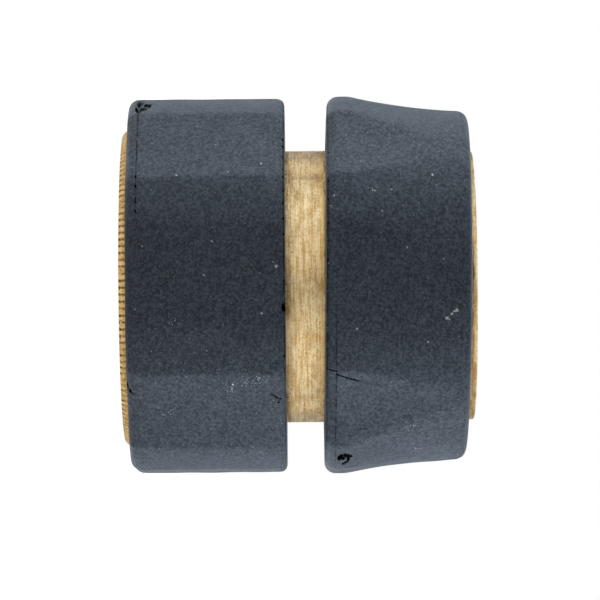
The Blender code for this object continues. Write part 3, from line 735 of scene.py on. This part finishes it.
# %% Round the corners of a section
def rounded(corners, steps=4):
    """Points round a closed section from corners of (radius, height, fillet)."""
    path = []
    for i, (radius, height, fillet) in enumerate(corners):
        here = Vector((radius, height))
        back = Vector(corners[i - 1][:2]) - here
        ahead = Vector(corners[(i + 1) % len(corners)][:2]) - here
        half = 0.5 * back.angle(ahead)
        cut = min(fillet / math.tan(half), 0.45 * back.length, 0.45 * ahead.length)
        if cut < 0.01:
            path.append(tuple(here))
            continue
        start, end = here + back.normalized() * cut, here + ahead.normalized() * cut
        for k in range(steps + 1):
            t = k / steps
            point = start * (1.0 - t) ** 2 + here * (2.0 * t * (1.0 - t)) + end * t**2
            path.append(tuple(point))
    return path


def denser(path, radii, low, high, step):
    """The path with extra points where it climbs between two heights, inside two radii."""
    out = []
    for i, (radius, height) in enumerate(path):
        out.append((radius, height))
        to_radius, to_height = path[(i + 1) % len(path)]
        inside = min(height, to_height) < high and max(height, to_height) > low
        inside = inside and radii[0] < min(radius, to_radius) and max(radius, to_radius) < radii[1]
        count = math.ceil(abs(to_height - height) / step) if inside else 1
        for k in range(1, count):
            t = k / count
            out.append((radius + (to_radius - radius) * t, height + (to_height - height) * t))
    return out


square = [(1.0, 1.0, 0.2), (2.0, 1.0, 0.2), (2.0, 2.0, 0.2), (1.0, 2.0, 0.2)]
print("a square with rounded corners has", len(rounded(square)), "points")

# %% [markdown]
# ## Thread
#
# The nut screws on a thread of 1.5 mm pitch. On a grid a thread is one line of maths: where a
# point lies in the pitch depends on its height and its angle, and a wave of that gives the
# depth of the cut. The blank keeps its chamfers, and the smaller of blank and thread wins, which
# is how a real thread fades out at its ends.

# %% The depth of a thread at each point
THREAD_PITCH = 1.5
THREAD_DEPTH = 0.8


def thread_cut(heights, angles):
    """0 on a crest and 1 in a root, for each height and angle of a right-hand thread."""
    phase = np.mod(heights[:, None] / THREAD_PITCH - angles[None, :] / TURN, 1.0)
    slope = np.abs(phase - 0.5) * 2.0
    return np.clip((slope - 0.16) / 0.62, 0.0, 1.0)


print("thread:", THREAD_PITCH, "mm pitch,", THREAD_DEPTH, "mm deep")

# %% [markdown]
# ## The turned body
#
# One bar of brass makes the hose tail with its barbs, the thread for the nut, the shoulder that
# shows between the grips, the neck with the ball holes, and the socket. The holes are drilled
# last, with a Boolean, as a maker would drill them: each ends in a round seat a little smaller
# than the ball, so the ball can look into the socket but never fall in.

# %% Turn the body and cut its thread
BODY_SEGMENTS = 144
BODY_CREST = 13.2
BALLS = 8
BALL_ROW = 29.9
BALL_ORBIT = 9.6


def barbs():
    """The hose barbs, sharp on the side away from the tip."""
    corners = []
    for i in range(3):
        low, crest = 1.9 + 2.3 * i, 3.8 + 2.3 * i
        corners += [(7.3, low, 0.05), (7.9, crest, 0.06), (7.3, crest, 0.08)]
    return corners


body_section = [(7.0, 1.2, 0.1)] + barbs() + [
    (7.3, 12.5, 0.2), (11.0, 12.5, 0.2), (11.0, 9.3, 0.1), (11.3, 9.0, 0.1), (12.4, 9.0, 0.05),
    (13.2, 9.8, 0.05), (13.2, 13.5, 0.05), (12.4, 14.3, 0.1), (12.4, 15.2, 0.1), (13.25, 15.2, 0.1),
    (13.55, 15.5, 0.1), (13.55, 21.8, 0.1), (13.25, 22.1, 0.1), (11.2, 22.1, 0.15),
    (11.2, 33.05, 0.0), (10.5, 33.05, 0.08), (10.5, 33.75, 0.08), (11.2, 33.75, 0.05),
    (11.2, 34.1, 0.1), (10.9, 34.4, 0.15), (9.5, 34.4, 0.12), (8.8, 33.7, 0.25), (8.8, 25.2, 0.1),
    (7.9, 25.2, 0.1), (7.6, 24.9, 0.1), (7.6, 20.25, 0.08), (8.9, 20.25, 0.15), (8.9, 18.15, 0.15),
    (7.6, 18.15, 0.08), (7.6, 16.2, 0.15), (6.3, 16.2, 0.1), (6.0, 15.9, 0.1), (6.0, 1.5, 0.1),
    (6.3, 1.2, 0.1),
]
path = np.array(denser(rounded(body_section), (11.2, 13.3), 9.0, 14.3, 0.1))
angles = even_angles(BODY_SEGMENTS)
cut = BODY_CREST - THREAD_DEPTH * thread_cut(path[:, 1], angles)
# The thread is cut only into the blank and its chamfers.
on_thread = (path[:, 0] > 12.39) & (path[:, 1] > 8.99) & (path[:, 1] < 14.31)
radii = np.where(on_thread[:, None], np.minimum(path[:, :1], cut), path[:, :1])
turned_body = skin("turned_body", ring_grid(radii, path[:, 1], angles))
print("body grid:", radii.shape)


# %% Drill the ball holes
def ball_hole(direction):
    """A drill whose inner end is the round seat of a ball."""
    reach, tip, point = 1.62, 0.92, 0.02
    inner, outer = -2.4, 3.6
    seat = [math.asin(tip / reach) * (1.0 - k / 6) for k in range(7)]
    radii = [reach * math.cos(a) for a in seat]
    radii = [point, radii[0]] + radii + [reach, point]
    depths = [inner, inner] + [-reach * math.sin(a) for a in seat] + [outer, outer]
    drill = skin("drill", ring_grid(radii, depths, even_angles(32)))
    centre = direction * BALL_ORBIT + Vector((0.0, 0.0, BALL_ROW))
    turn_to = direction.to_track_quat("Z", "Y").to_matrix().to_4x4()
    drill.data.transform(Matrix.Translation(centre * MM) @ turn_to)
    return drill


def ball_direction(i):
    """The way out from the axis to a ball."""
    angle = TURN * (i + 0.5) / BALLS
    return Vector((math.cos(angle), math.sin(angle), 0.0))


def cut_away(piece, tools):
    """Take tools away from a piece, and clear them up."""
    face_outwards(piece.data)
    group = bpy.data.collections.new("tools")
    for tool in tools:
        face_outwards(tool.data)
        group.objects.link(tool)
    modifier = piece.modifiers.new("cut", "BOOLEAN")
    modifier.operation, modifier.solver = "DIFFERENCE", "EXACT"
    modifier.operand_type, modifier.collection = "COLLECTION", group
    graph = bpy.context.evaluated_depsgraph_get()
    made = bpy.data.meshes.new_from_object(piece.evaluated_get(graph))
    piece.modifiers.clear()
    piece.data = made
    for tool in tools:
        bpy.data.objects.remove(tool, do_unlink=True)
    bpy.data.collections.remove(group)


cut_away(turned_body, [ball_hole(ball_direction(i)) for i in range(BALLS)])
finish_piece(turned_body, "connector", "connector_body", body_brass)

# %% [markdown]
# ## The release sleeve
#
# The sleeve is a thin turned ring. Only its lip shows past the rubber, so the lip gets the
# generous round that the photograph shows. Inside, its ramp and land work the balls.

# %% Turn the sleeve
sleeve_section = [
    (14.0, 21.2, 0.05), (14.6, 21.2, 0.05), (14.9, 21.5, 0.1), (14.9, 28.6, 0.1),
    (13.387, 28.9, 0.2), (13.387, 34.75, 0.45), (12.887, 34.75, 0.08), (12.587, 34.45, 0.1),
    (12.587, 33.0, 0.06), (11.987, 33.0, 0.06), (11.3, 30.056, 0.2), (11.3, 28.0, 0.05),
    (13.7, 28.0, 0.1), (13.7, 21.5, 0.05),
]
path = np.array(rounded(sleeve_section, 6))
turned_sleeve = skin("turned_sleeve", ring_grid(path[:, :1], path[:, 1], even_angles(180)))
finish_piece(turned_sleeve, "sleeve", "release_sleeve", sleeve_brass)

# %% [markdown]
# ## The knurled nut
#
# A straight knurl has 144 teeth, each with a broad top and a narrow groove. Five columns of
# the grid make one tooth. The inside gets the nut's thread on the same grid, cut outwards, so
# that it can turn on the body.

# %% Knurl the nut
TOOTH_SHAPE = np.array([1.0, 0.28, 0.0, 0.0, 0.28])
NUT_CREST = 13.45

nut_section = [
    (11.6, 0.0, 0.1), (15.35, 0.0, 0.1), (15.7, 0.35, 0.15), (15.7, 14.35, 0.1),
    (15.15, 14.9, 0.1), (14.25, 14.9, 0.05), (13.45, 14.1, 0.05), (13.45, 8.65, 0.05),
    (13.1, 8.65, 0.05), (12.0, 1.8, 0.1), (11.1, 1.8, 0.1), (11.1, 0.5, 0.1),
]
path = np.array(denser(rounded(nut_section), (13.4, 14.3), 8.65, 14.9, 0.14))
angles = even_angles(len(TOOTH_SHAPE) * TEETH)
knurl = NUT_RADIUS - KNURL_DEPTH * np.tile(TOOTH_SHAPE, TEETH)
thread = NUT_CREST + THREAD_DEPTH * thread_cut(path[:, 1], angles)
# The knurl goes outside, and the thread above the cone inside.
outside = path[:, :1] > 15.0
threaded = (path[:, 0] < 14.26) & (path[:, 0] > 13.44) & (path[:, 1] > 8.66)
radii = np.where(outside, np.minimum(path[:, :1], knurl), path[:, :1])
radii = np.where(threaded[:, None], np.maximum(radii, thread), radii)
knurled_nut = skin("knurled_nut", ring_grid(radii, path[:, 1], angles))
finish_piece(knurled_nut, "nut", "hose_nut", nut_brass, 50.0)

# %% [markdown]
# ## Dents in the rubber
#
# Moulded rubber is never quite true. A few waves with random phases make it gently uneven, and
# they come from a seed, so that every run makes the same piece.


# %% Gentle unevenness
def ripple(angles, heights, seed, finest_mm, count=14):
    """Gentle noise from -1 to 1 on a round, from waves whose phases come from a seed."""
    lot = np.random.default_rng(seed)
    total = np.zeros(np.broadcast(angles, heights).shape)
    most_waves = int(TURN * 18.0 / finest_mm)
    for _ in range(count):
        round_waves = lot.integers(2, most_waves)
        up_waves = lot.uniform(-TURN / finest_mm, TURN / finest_mm)
        total += np.sin(round_waves * angles + up_waves * heights + lot.uniform(0.0, TURN))
    return total / (0.6 * count**0.5 * 2.0)


# %% [markdown]
# The grid of a grip is finer where a small mark needs it. Marks are dents: each takes a little
# off the radius round its place. A pit is a round dent, a split is a narrow one along a line,
# and the moulding line is a shallow groove right round, where the two halves of the mould met.


# %% Grids that are finer round a mark
MARK_RADIUS = 18.8


def graded(low, high, coarse, fine, places):
    """Places from low to high, fine near each (centre, reach) and coarse elsewhere."""
    out = [low]
    while out[-1] < high:
        near = any(abs(out[-1] - centre) < reach for centre, reach in places)
        out.append(out[-1] + (fine if near else coarse))
    out[-1] = high
    return np.array(out)


def on_surface(angles, heights, view_deg, height):
    """Distances round and up the surface from a mark, in millimetres."""
    round_by = np.mod(angles - polar(view_deg) + math.pi, TURN) - math.pi
    return -round_by * MARK_RADIUS, heights - height


def pit(angles, heights, view_deg, height, reach, depth):
    """A round dent with a raised rim."""
    across, up = on_surface(angles, heights, view_deg, height)
    away = np.hypot(across, up) / reach
    return -depth * np.exp(-(away**4)) + 0.15 * depth * np.exp(-((away - 1.35) ** 2) * 12.0)


def split(angles, heights, ends, width, depth):
    """A narrow cut along a line between points of (view_deg, height)."""
    total = np.zeros(np.broadcast(angles, heights).shape)
    for (view_a, low), (view_b, high) in zip(ends[:-1], ends[1:]):
        across, up = on_surface(angles, heights, view_a, low)
        run = (math.radians(view_b - view_a) * MARK_RADIUS, high - low)
        length = math.hypot(*run)
        along = np.clip((across * run[0] + up * run[1]) / length**2, 0.0, 1.0)
        away = np.hypot(across - along * run[0], up - along * run[1])
        total = np.maximum(total, np.exp(-((away / width) ** 2)))
    return -depth * total


def moulded(radii, angles, heights, seed, rough_ends, edge_depth, edge_mm, seam):
    """Radii with gentle waves, rough ends at (height, spread) and a moulding line."""
    radii = radii + 0.02 * ripple(angles, heights, seed, 4.0)
    near_ends = sum(np.exp(-((heights - end) ** 2) / spread) for end, spread in rough_ends)
    radii += near_ends * edge_depth * ripple(angles, heights, seed + 2, edge_mm, 24)
    line_on = 0.55 + 0.45 * ripple(angles, heights * 0.1, seed + 5, 9.0)
    radii -= 0.06 * np.exp(-(((heights - seam) / 0.09) ** 2)) * np.clip(line_on, 0.15, 1.0)
    return radii


# %% [markdown]
# ## The nut's grip
#
# A plain length with both ends rounded. Its marks are the ones the photograph shows: the
# moulding line near the hose end, a pit on its upper edge, a nick near its inner end, and a
# small tear where it meets the knurled rim.

# %% Mould the nut's grip
def end_rounds(low, high, low_fillet, high_fillet, middle):
    """Rows of (height, inset): a round end, the middle heights, a round end."""
    tilts = [0.5 * math.pi * k / 8 for k in range(9)]
    quarter = [(1.0 - math.cos(tilt), 1.0 - math.sin(tilt)) for tilt in tilts]
    lower = [(low + low_fillet * up, low_fillet * into) for up, into in quarter]
    upper = [(high - high_fillet * down, high_fillet * into) for down, into in quarter]
    flat = [(z, 0.0) for z in middle if low + low_fillet < z < high - high_fillet]
    return np.array(lower + flat + upper[::-1])


def grip_piece(name, rows, radii, bore, angles, askew=0.0):
    """A grip from its outer rows and the (radius, height) pairs of its bore."""
    bore = np.array(bore)
    bore_radii = bore[:, :1] * np.ones((1, len(angles)))
    heights = np.concatenate((rows[:, 0], bore[:, 1]))
    grid = ring_grid(np.concatenate((radii, bore_radii)), heights, angles)
    grid[..., 2] -= askew * grid[..., 0]
    return skin(name, grid)


places = [(polar(71.0), 0.05), (polar(-30.7), 0.05), (polar(-32.0), 0.05)]
angles = graded(0.0, TURN, TURN / 640, TURN / 1600, places)[:-1]
middle = graded(0.7, 16.0, 0.24, 0.08, [(NUT_SEAM, 0.3), (2.0, 0.9), (15.2, 0.7)])
rows = end_rounds(*NUT_GRIP_ENDS, middle)
heights, insets, around = rows[:, :1], rows[:, 1:], angles[None, :]
rough_ends = ((0.9, 0.3), (15.8, 0.12))
radii = nut_round(around, heights) - insets
radii = moulded(radii, around, heights, 3, rough_ends, 0.035, 0.7, NUT_SEAM)
for ends, width, depth in (
    (((66.5, 1.80), (74.5, 1.95)), 0.30, 0.45),
    (((68.5, 2.35), (71.5, 2.85)), 0.17, 0.28),
    (((-34.4, 14.8), (-36.4, 15.5)), 0.09, 0.20),
    (((-31.0, 0.75), (-33.4, 1.15)), 0.12, 0.30),
):
    radii += split(around, heights, ends, width, depth)
radii += pit(around, heights, -6.4, 16.0, 0.30, 0.25)
radii = np.minimum(radii, NUT_GRIP_RADIUS)
nut_bore = [(13.9, 16.0), (13.9, 15.2), (15.9, 15.2), (15.9, 0.7)]
rubber_on_nut = grip_piece("rubber_on_nut", rows, radii, nut_bore, angles)
finish_piece(rubber_on_nut, "nut", "nut_grip", nut_rubber, 60.0)

# %% [markdown]
# ## The sleeve's grip
#
# The shape from before, from its flange to a fat round end. It has its own moulding line, a pit
# low on its flange, and a fine crack that starts at its edge.

# %% Mould the sleeve's grip
places = [(polar(-27.5), 0.06), (polar(-61.5), 0.04)]
angles = graded(0.0, TURN, TURN / 640, TURN / 2400, places)[:-1]
middle = graded(19.95, 34.1, 0.22, 0.07, [(21.0, 0.35), (21.9, 0.9)])
rows = end_rounds(*SLEEVE_GRIP_ENDS, middle)
heights, insets, around = rows[:, :1], rows[:, 1:], angles[None, :]
rough_ends = ((20.15, 0.12), (33.7, 0.2))
radii = sleeve_round(around, heights) - insets
radii = moulded(radii, around, heights, 13, rough_ends, 0.025, 0.8, SLEEVE_SEAM)
radii += pit(around, heights, -61.0, 21.7, 0.40, 0.25)
radii += pit(around, heights, -62.4, 22.3, 0.22, 0.15)
crack = [(-25.4, 20.0), (-25.3, 21.05), (-26.7, 21.15), (-29.6, 23.2)]
radii += split(around, heights, crack, 0.05, 0.18)
radii = np.minimum(radii, flare(heights) + 0.02)
sleeve_bore = [
    (13.587, 34.1), (13.587, 29.2), (15.1, 29.2), (15.1, 20.9), (13.9, 20.9), (13.9, 19.95),
]
rubber_on_sleeve = grip_piece("rubber_on_sleeve", rows, radii, sleeve_bore, angles, ASKEW)
finish_piece(rubber_on_sleeve, "sleeve", "sleeve_grip", sleeve_rubber, 60.0)

# %% [markdown]
# ## Spring, balls and rings
#
# The spring is a wire on a helix whose end turns lie flat on each other. When the sleeve is
# pushed back the spring closes. The balls are plain
# spheres, as real ones are. The seal is a ring of round section in its groove, and the
# retaining ring is an open flat ring with its edges tumbled smooth.

# %% Wind the spring
WIRE_RADIUS = 0.35
SPRING_RADIUS = 12.45
SPRING_LOW, SPRING_HIGH = 22.6, 27.5
COIL_TURNS, CLOSED_TURNS = 3, 0.75
STEPS_A_TURN = 48
CLOSED_PITCH = 0.75


def spring_rise(turns):
    """Height of the wire's centre after some turns: closed, open, closed."""
    closed = CLOSED_PITCH * CLOSED_TURNS
    open_rise = SPRING_HIGH - SPRING_LOW - 2.0 * closed
    open_turns = COIL_TURNS - 2.0 * CLOSED_TURNS
    if turns <= CLOSED_TURNS:
        return SPRING_LOW + CLOSED_PITCH * turns
    if turns >= COIL_TURNS - CLOSED_TURNS:
        return SPRING_HIGH - CLOSED_PITCH * (COIL_TURNS - turns)
    return SPRING_LOW + closed + open_rise * (turns - CLOSED_TURNS) / open_turns


def wire_along(points, radius, sides):
    """A tube of points round a line, with closed round ends."""
    points = [Vector(p) for p in points]
    grid = []
    for i, point in enumerate(points):
        way = (points[min(i + 1, len(points) - 1)] - points[max(i - 1, 0)]).normalized()
        side = way.cross(Vector((0.0, 0.0, 1.0))).normalized()
        up = side.cross(way)
        shrink = 0.6 if i in (0, len(points) - 1) else 1.0
        spokes = [side * math.cos(a) + up * math.sin(a) for a in even_angles(sides)]
        grid.append([tuple(point + spoke * radius * shrink) for spoke in spokes])
    grid.insert(0, [tuple(points[0])] * sides)
    grid.append([tuple(points[-1])] * sides)
    return np.array(grid)


coil = []
for i in range(COIL_TURNS * STEPS_A_TURN + 1):
    turns = i / STEPS_A_TURN
    x, y = SPRING_RADIUS * math.cos(TURN * turns), SPRING_RADIUS * math.sin(TURN * turns)
    coil.append((x, y, spring_rise(turns)))
wound_spring = skin("wound_spring", wire_along(coil, WIRE_RADIUS, 14), wrap_rows=False)
finish_piece(wound_spring, "spring", "sleeve_spring", spring_wire)
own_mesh(wound_spring)


# %% Set the balls in their row
BALL_RADIUS = 1.5


def ball(i):
    """One polished ball, from a grid of rings."""
    tilts = np.linspace(-0.5 * math.pi, 0.5 * math.pi, 25)
    radii, heights = BALL_RADIUS * np.cos(tilts) + 1e-4, BALL_RADIUS * np.sin(tilts)
    grid = ring_grid(radii, heights, even_angles(40))
    centre = ball_direction(i) * BALL_ORBIT + Vector((0.0, 0.0, BALL_ROW))
    made = skin("steel_ball_%d" % (i + 1), grid + np.array(centre), wrap_rows=False)
    name = "lock_ball_%d" % (i + 1)
    return finish_piece(made, "ball_%d" % (i + 1), name, polished_steel, 80.0)


for i in range(BALLS):
    ball(i)

# %% Seal, retaining ring and clamp ring
seal_orbit, seal_height, seal_wire = 7.85, 19.2, 0.9
tilts = even_angles(28)
radii, heights = seal_orbit + seal_wire * np.cos(tilts), seal_height + seal_wire * np.sin(tilts)
seal_ring = skin("seal_ring", ring_grid(radii, heights, even_angles(120)))
finish_piece(seal_ring, "connector", "plug_seal", seal_rubber, 80.0)


def fill_holes(bm):
    """Close each hole of a mesh with a face."""
    bmesh.ops.holes_fill(bm, edges=[edge for edge in bm.edges if edge.is_boundary])


def open_ring(name, section, opening_deg, columns):
    """A ring of a section that stops short of a full turn, with capped ends."""
    path = np.array(rounded(section, 3))
    half = math.radians(0.5 * opening_deg)
    angles = np.linspace(half, TURN - half, columns)
    made = skin(name, ring_grid(path[:, :1], path[:, 1], angles), wrap_columns=False)
    change(made.data, fill_holes)
    return made


ring_section = [
    (10.65, 33.1, 0.12), (12.387, 33.1, 0.12), (12.387, 33.7, 0.12), (10.65, 33.7, 0.12),
]
snap_ring = open_ring("snap_ring", ring_section, 26.0, 110)
finish_piece(snap_ring, "connector", "retaining_ring", spring_wire)

# %% [markdown]
# The clamp ring is nylon, split at one side and slotted from its wide end so that the nut's
# cone can close it on the hose. Fine teeth in its bore bite the hose.

# %% Mould the clamp ring and slot it
CLAMP_TEETH, CLAMP_PITCH = 4, 1.65
CLAMP_SLOTS = 6

clamp_section = [(11.798, 2.1, 0.1), (12.858, 8.7, 0.15)]
for i in range(CLAMP_TEETH):
    crest = 8.7 - CLAMP_PITCH * i
    clamp_section += [(10.7, crest, 0.08), (11.1, crest - 0.5 * CLAMP_PITCH, 0.08)]
clamp_section.append((10.7, 2.1, 0.1))
slotted_clamp = open_ring("slotted_clamp", clamp_section, 11.0, 140)


def slot_tool(angle):
    """A flat saw blade for one slot, from its outline at the bottom and at the top."""
    inner, outer, half_width = 8.9, 14.3, 0.5
    outline = [
        (inner, -half_width), (outer, -half_width), (outer, half_width), (inner, half_width),
    ]
    grid = np.array([[(x, y, z) for x, y in outline] for z in (-1.9, 6.1)])
    tool = skin("slot_tool", grid, wrap_rows=False)
    change(tool.data, fill_holes)
    tool.data.transform(Matrix.Rotation(angle, 4, "Z"))
    return tool


# The split ring's opening takes the place of the first slot.
cut_away(slotted_clamp, [slot_tool(TURN * i / CLAMP_SLOTS) for i in range(1, CLAMP_SLOTS)])
finish_piece(slotted_clamp, "clamp", "clamp_ring", nylon)

# %% [markdown]
# ## Floor and light
#
# The photograph has a plain white ground. The world and the floor are white where the camera, a
# reflection or a clear material looks at them, and dimmer for the light they throw, so the
# ground reads white while the rubber stays dark. The floor still takes the object's shadow.

# %% White ground
FILL = 0.10
FLOOR_HALF = 3.0
WHITE = (1.0, 1.0, 1.0, 1.0)
PAPER = (0.86, 0.86, 0.86, 1.0)


def looked_at(finish):
    """1 where the camera, a reflection or a clear material looks, and 0 for thrown light."""
    rays = finish.node("ShaderNodeLightPath").outputs
    kinds = ("Is Camera Ray", "Is Glossy Ray", "Is Transmission Ray")
    return finish.most(*(Signal(finish, rays[kind]) for kind in kinds))


def flat_sheet(name, half_width, half_height, material):
    """A flat rectangle of a material, its sizes in metres."""
    mesh = bpy.data.meshes.new(name)
    signs = ((-1, -1), (1, -1), (1, 1), (-1, 1))
    corners = [(x * half_width, y * half_height, 0.0) for x, y in signs]
    mesh.from_pydata(corners, [], [(0, 1, 2, 3)])
    mesh.materials.append(material)
    made = bpy.data.objects.new(name, mesh)
    bpy.context.scene.collection.objects.link(made)
    return made


world = bpy.data.worlds.new("studio")
bpy.context.scene.world = world
world.use_nodes = True
w = Finish("studio", world.node_tree)
strength = FILL + (1.0 - FILL) * looked_at(w)
sky = w.signal("ShaderNodeBackground", {}, {"Color": WHITE, "Strength": strength})
w.node("ShaderNodeOutputWorld", {}, {"Surface": sky})

f = Finish("white_floor")
paper = f.signal("ShaderNodeBsdfDiffuse", {}, {"Color": PAPER})
glow = f.signal("ShaderNodeEmission", {}, {"Color": WHITE, "Strength": 1.16})
ground = f.signal("ShaderNodeMixShader", {}, {0: 0.86 * looked_at(f), 1: paper, 2: glow})
f.node("ShaderNodeOutputMaterial", {}, {"Surface": ground})
floor = flat_sheet("floor", FLOOR_HALF, FLOOR_HALF, f.material)
print("fill light:", FILL)

# %% [markdown]
# Two soft lamps stand above and below the picture, a little behind the connector, so that the
# rubber is darkest in the middle and bright along its outline. A faint third one in front lifts
# the lower half of the middle. Brass shows mostly what it mirrors, so cards of warm greys stand
# out of view round it. Only reflections see them, and they give the brass its dark middle, the
# bands beside it and its dull outlines.


# %% Lamps and cards
LAMP_TARGET = (0.0, 0.0, 0.0175)
CARD_MIDDLE = 0.10
CARD_HALF_HEIGHT = 0.30


def aim(thing, place, target):
    """Stand a thing at a place with its -Z looking at a target."""
    thing.location = place
    thing.rotation_euler = (Vector(target) - Vector(place)).to_track_quat("-Z", "Y").to_euler()


def lamp(name, place, size, watts):
    """A soft square lamp that lights but isn't mirrored."""
    data = bpy.data.lights.new(name, "AREA")
    data.shape, data.size, data.energy = "SQUARE", size, watts
    made = bpy.data.objects.new(name, data)
    aim(made, place, LAMP_TARGET)
    bpy.context.scene.collection.objects.link(made)
    made.visible_glossy = False
    return made


def card(name, view_deg, half_deg, colour, distance=0.60):
    """A card round the connector, view_deg from the camera, that only mirrors see."""
    paint = Finish(name)
    glow = paint.signal("ShaderNodeEmission", {}, {"Color": (*colour, 1.0), "Strength": 1.0})
    paint.node("ShaderNodeOutputMaterial", {}, {"Surface": glow})
    half_width = distance * math.tan(math.radians(half_deg))
    made = flat_sheet(name, half_width, CARD_HALF_HEIGHT, paint.material)
    turn = math.radians(view_deg)
    place = (-distance * math.sin(turn), -distance * math.cos(turn), CARD_MIDDLE)
    aim(made, place, (0.0, 0.0, CARD_MIDDLE))
    for rays in ("camera", "diffuse", "transmission", "shadow"):
        setattr(made, "visible_" + rays, False)
    return made


lamp("lamp_above", (-0.408, 0.102, 0.05), 0.35, 7.3)
lamp("lamp_below", (0.408, 0.102, 0.05), 0.35, 7.2)
lamp("lamp_front", (0.20, -0.28, 0.26), 0.25, 0.6)
card("card_front", -3.0, 12.0, (0.16, 0.110, 0.050))
card("card_front_wide", 0.0, 27.0, (0.49, 0.365, 0.200), 0.62)
card("card_front_wider", 0.0, 44.0, (0.87, 0.77, 0.64), 0.64)
card("card_above", 104.0, 7.0, (0.26, 0.20, 0.13))
card("card_above_wide", 108.0, 26.0, (0.68, 0.62, 0.54), 0.62)
card("card_below_near", -62.0, 18.0, (0.86, 0.78, 0.68), 0.61)
card("card_below", -104.0, 7.0, (0.24, 0.19, 0.13))
card("card_below_wide", -106.0, 26.0, (0.56, 0.45, 0.33), 0.62)
card("card_far_above", 148.0, 19.0, (0.28, 0.26, 0.24))
card("card_far_below", -148.0, 19.0, (0.26, 0.23, 0.19))

# %% [markdown]
# ## Camera
#
# The photograph was taken from far off with a long lens, level with the axis and lying on its
# side: to the right in the picture is up the connector. Sixty millimetres fill the frame.

# %% Camera
DISTANCE = 0.42
FRAME_WIDTH = 0.060
SENSOR = 36.0
DOWN_BY, UP_AXIS_BY = 0.00133, 0.0175
ROLL = math.radians(-0.50)
camera_data = bpy.data.cameras.new("camera")
camera_data.sensor_width = SENSOR
camera_data.lens = SENSOR * DISTANCE / FRAME_WIDTH
camera_data.clip_start, camera_data.clip_end = 0.01, 20.0
camera = bpy.data.objects.new("camera", camera_data)
right = Vector((-math.sin(ROLL), 0.0, math.cos(ROLL)))
up = Vector((-math.cos(ROLL), 0.0, -math.sin(ROLL)))
back = right.cross(up)
turned = Matrix((right, up, back)).transposed().to_4x4()
camera.matrix_world = Matrix.Translation((DOWN_BY, -DISTANCE, UP_AXIS_BY)) @ turned
bpy.context.scene.collection.objects.link(camera)
bpy.context.scene.camera = camera
print("lens in mm:", round(camera_data.lens, 1))

# %% [markdown]
# ## Show it
#
# Colours are shown as they are written.

bpy.context.scene.view_settings.view_transform = "Standard"
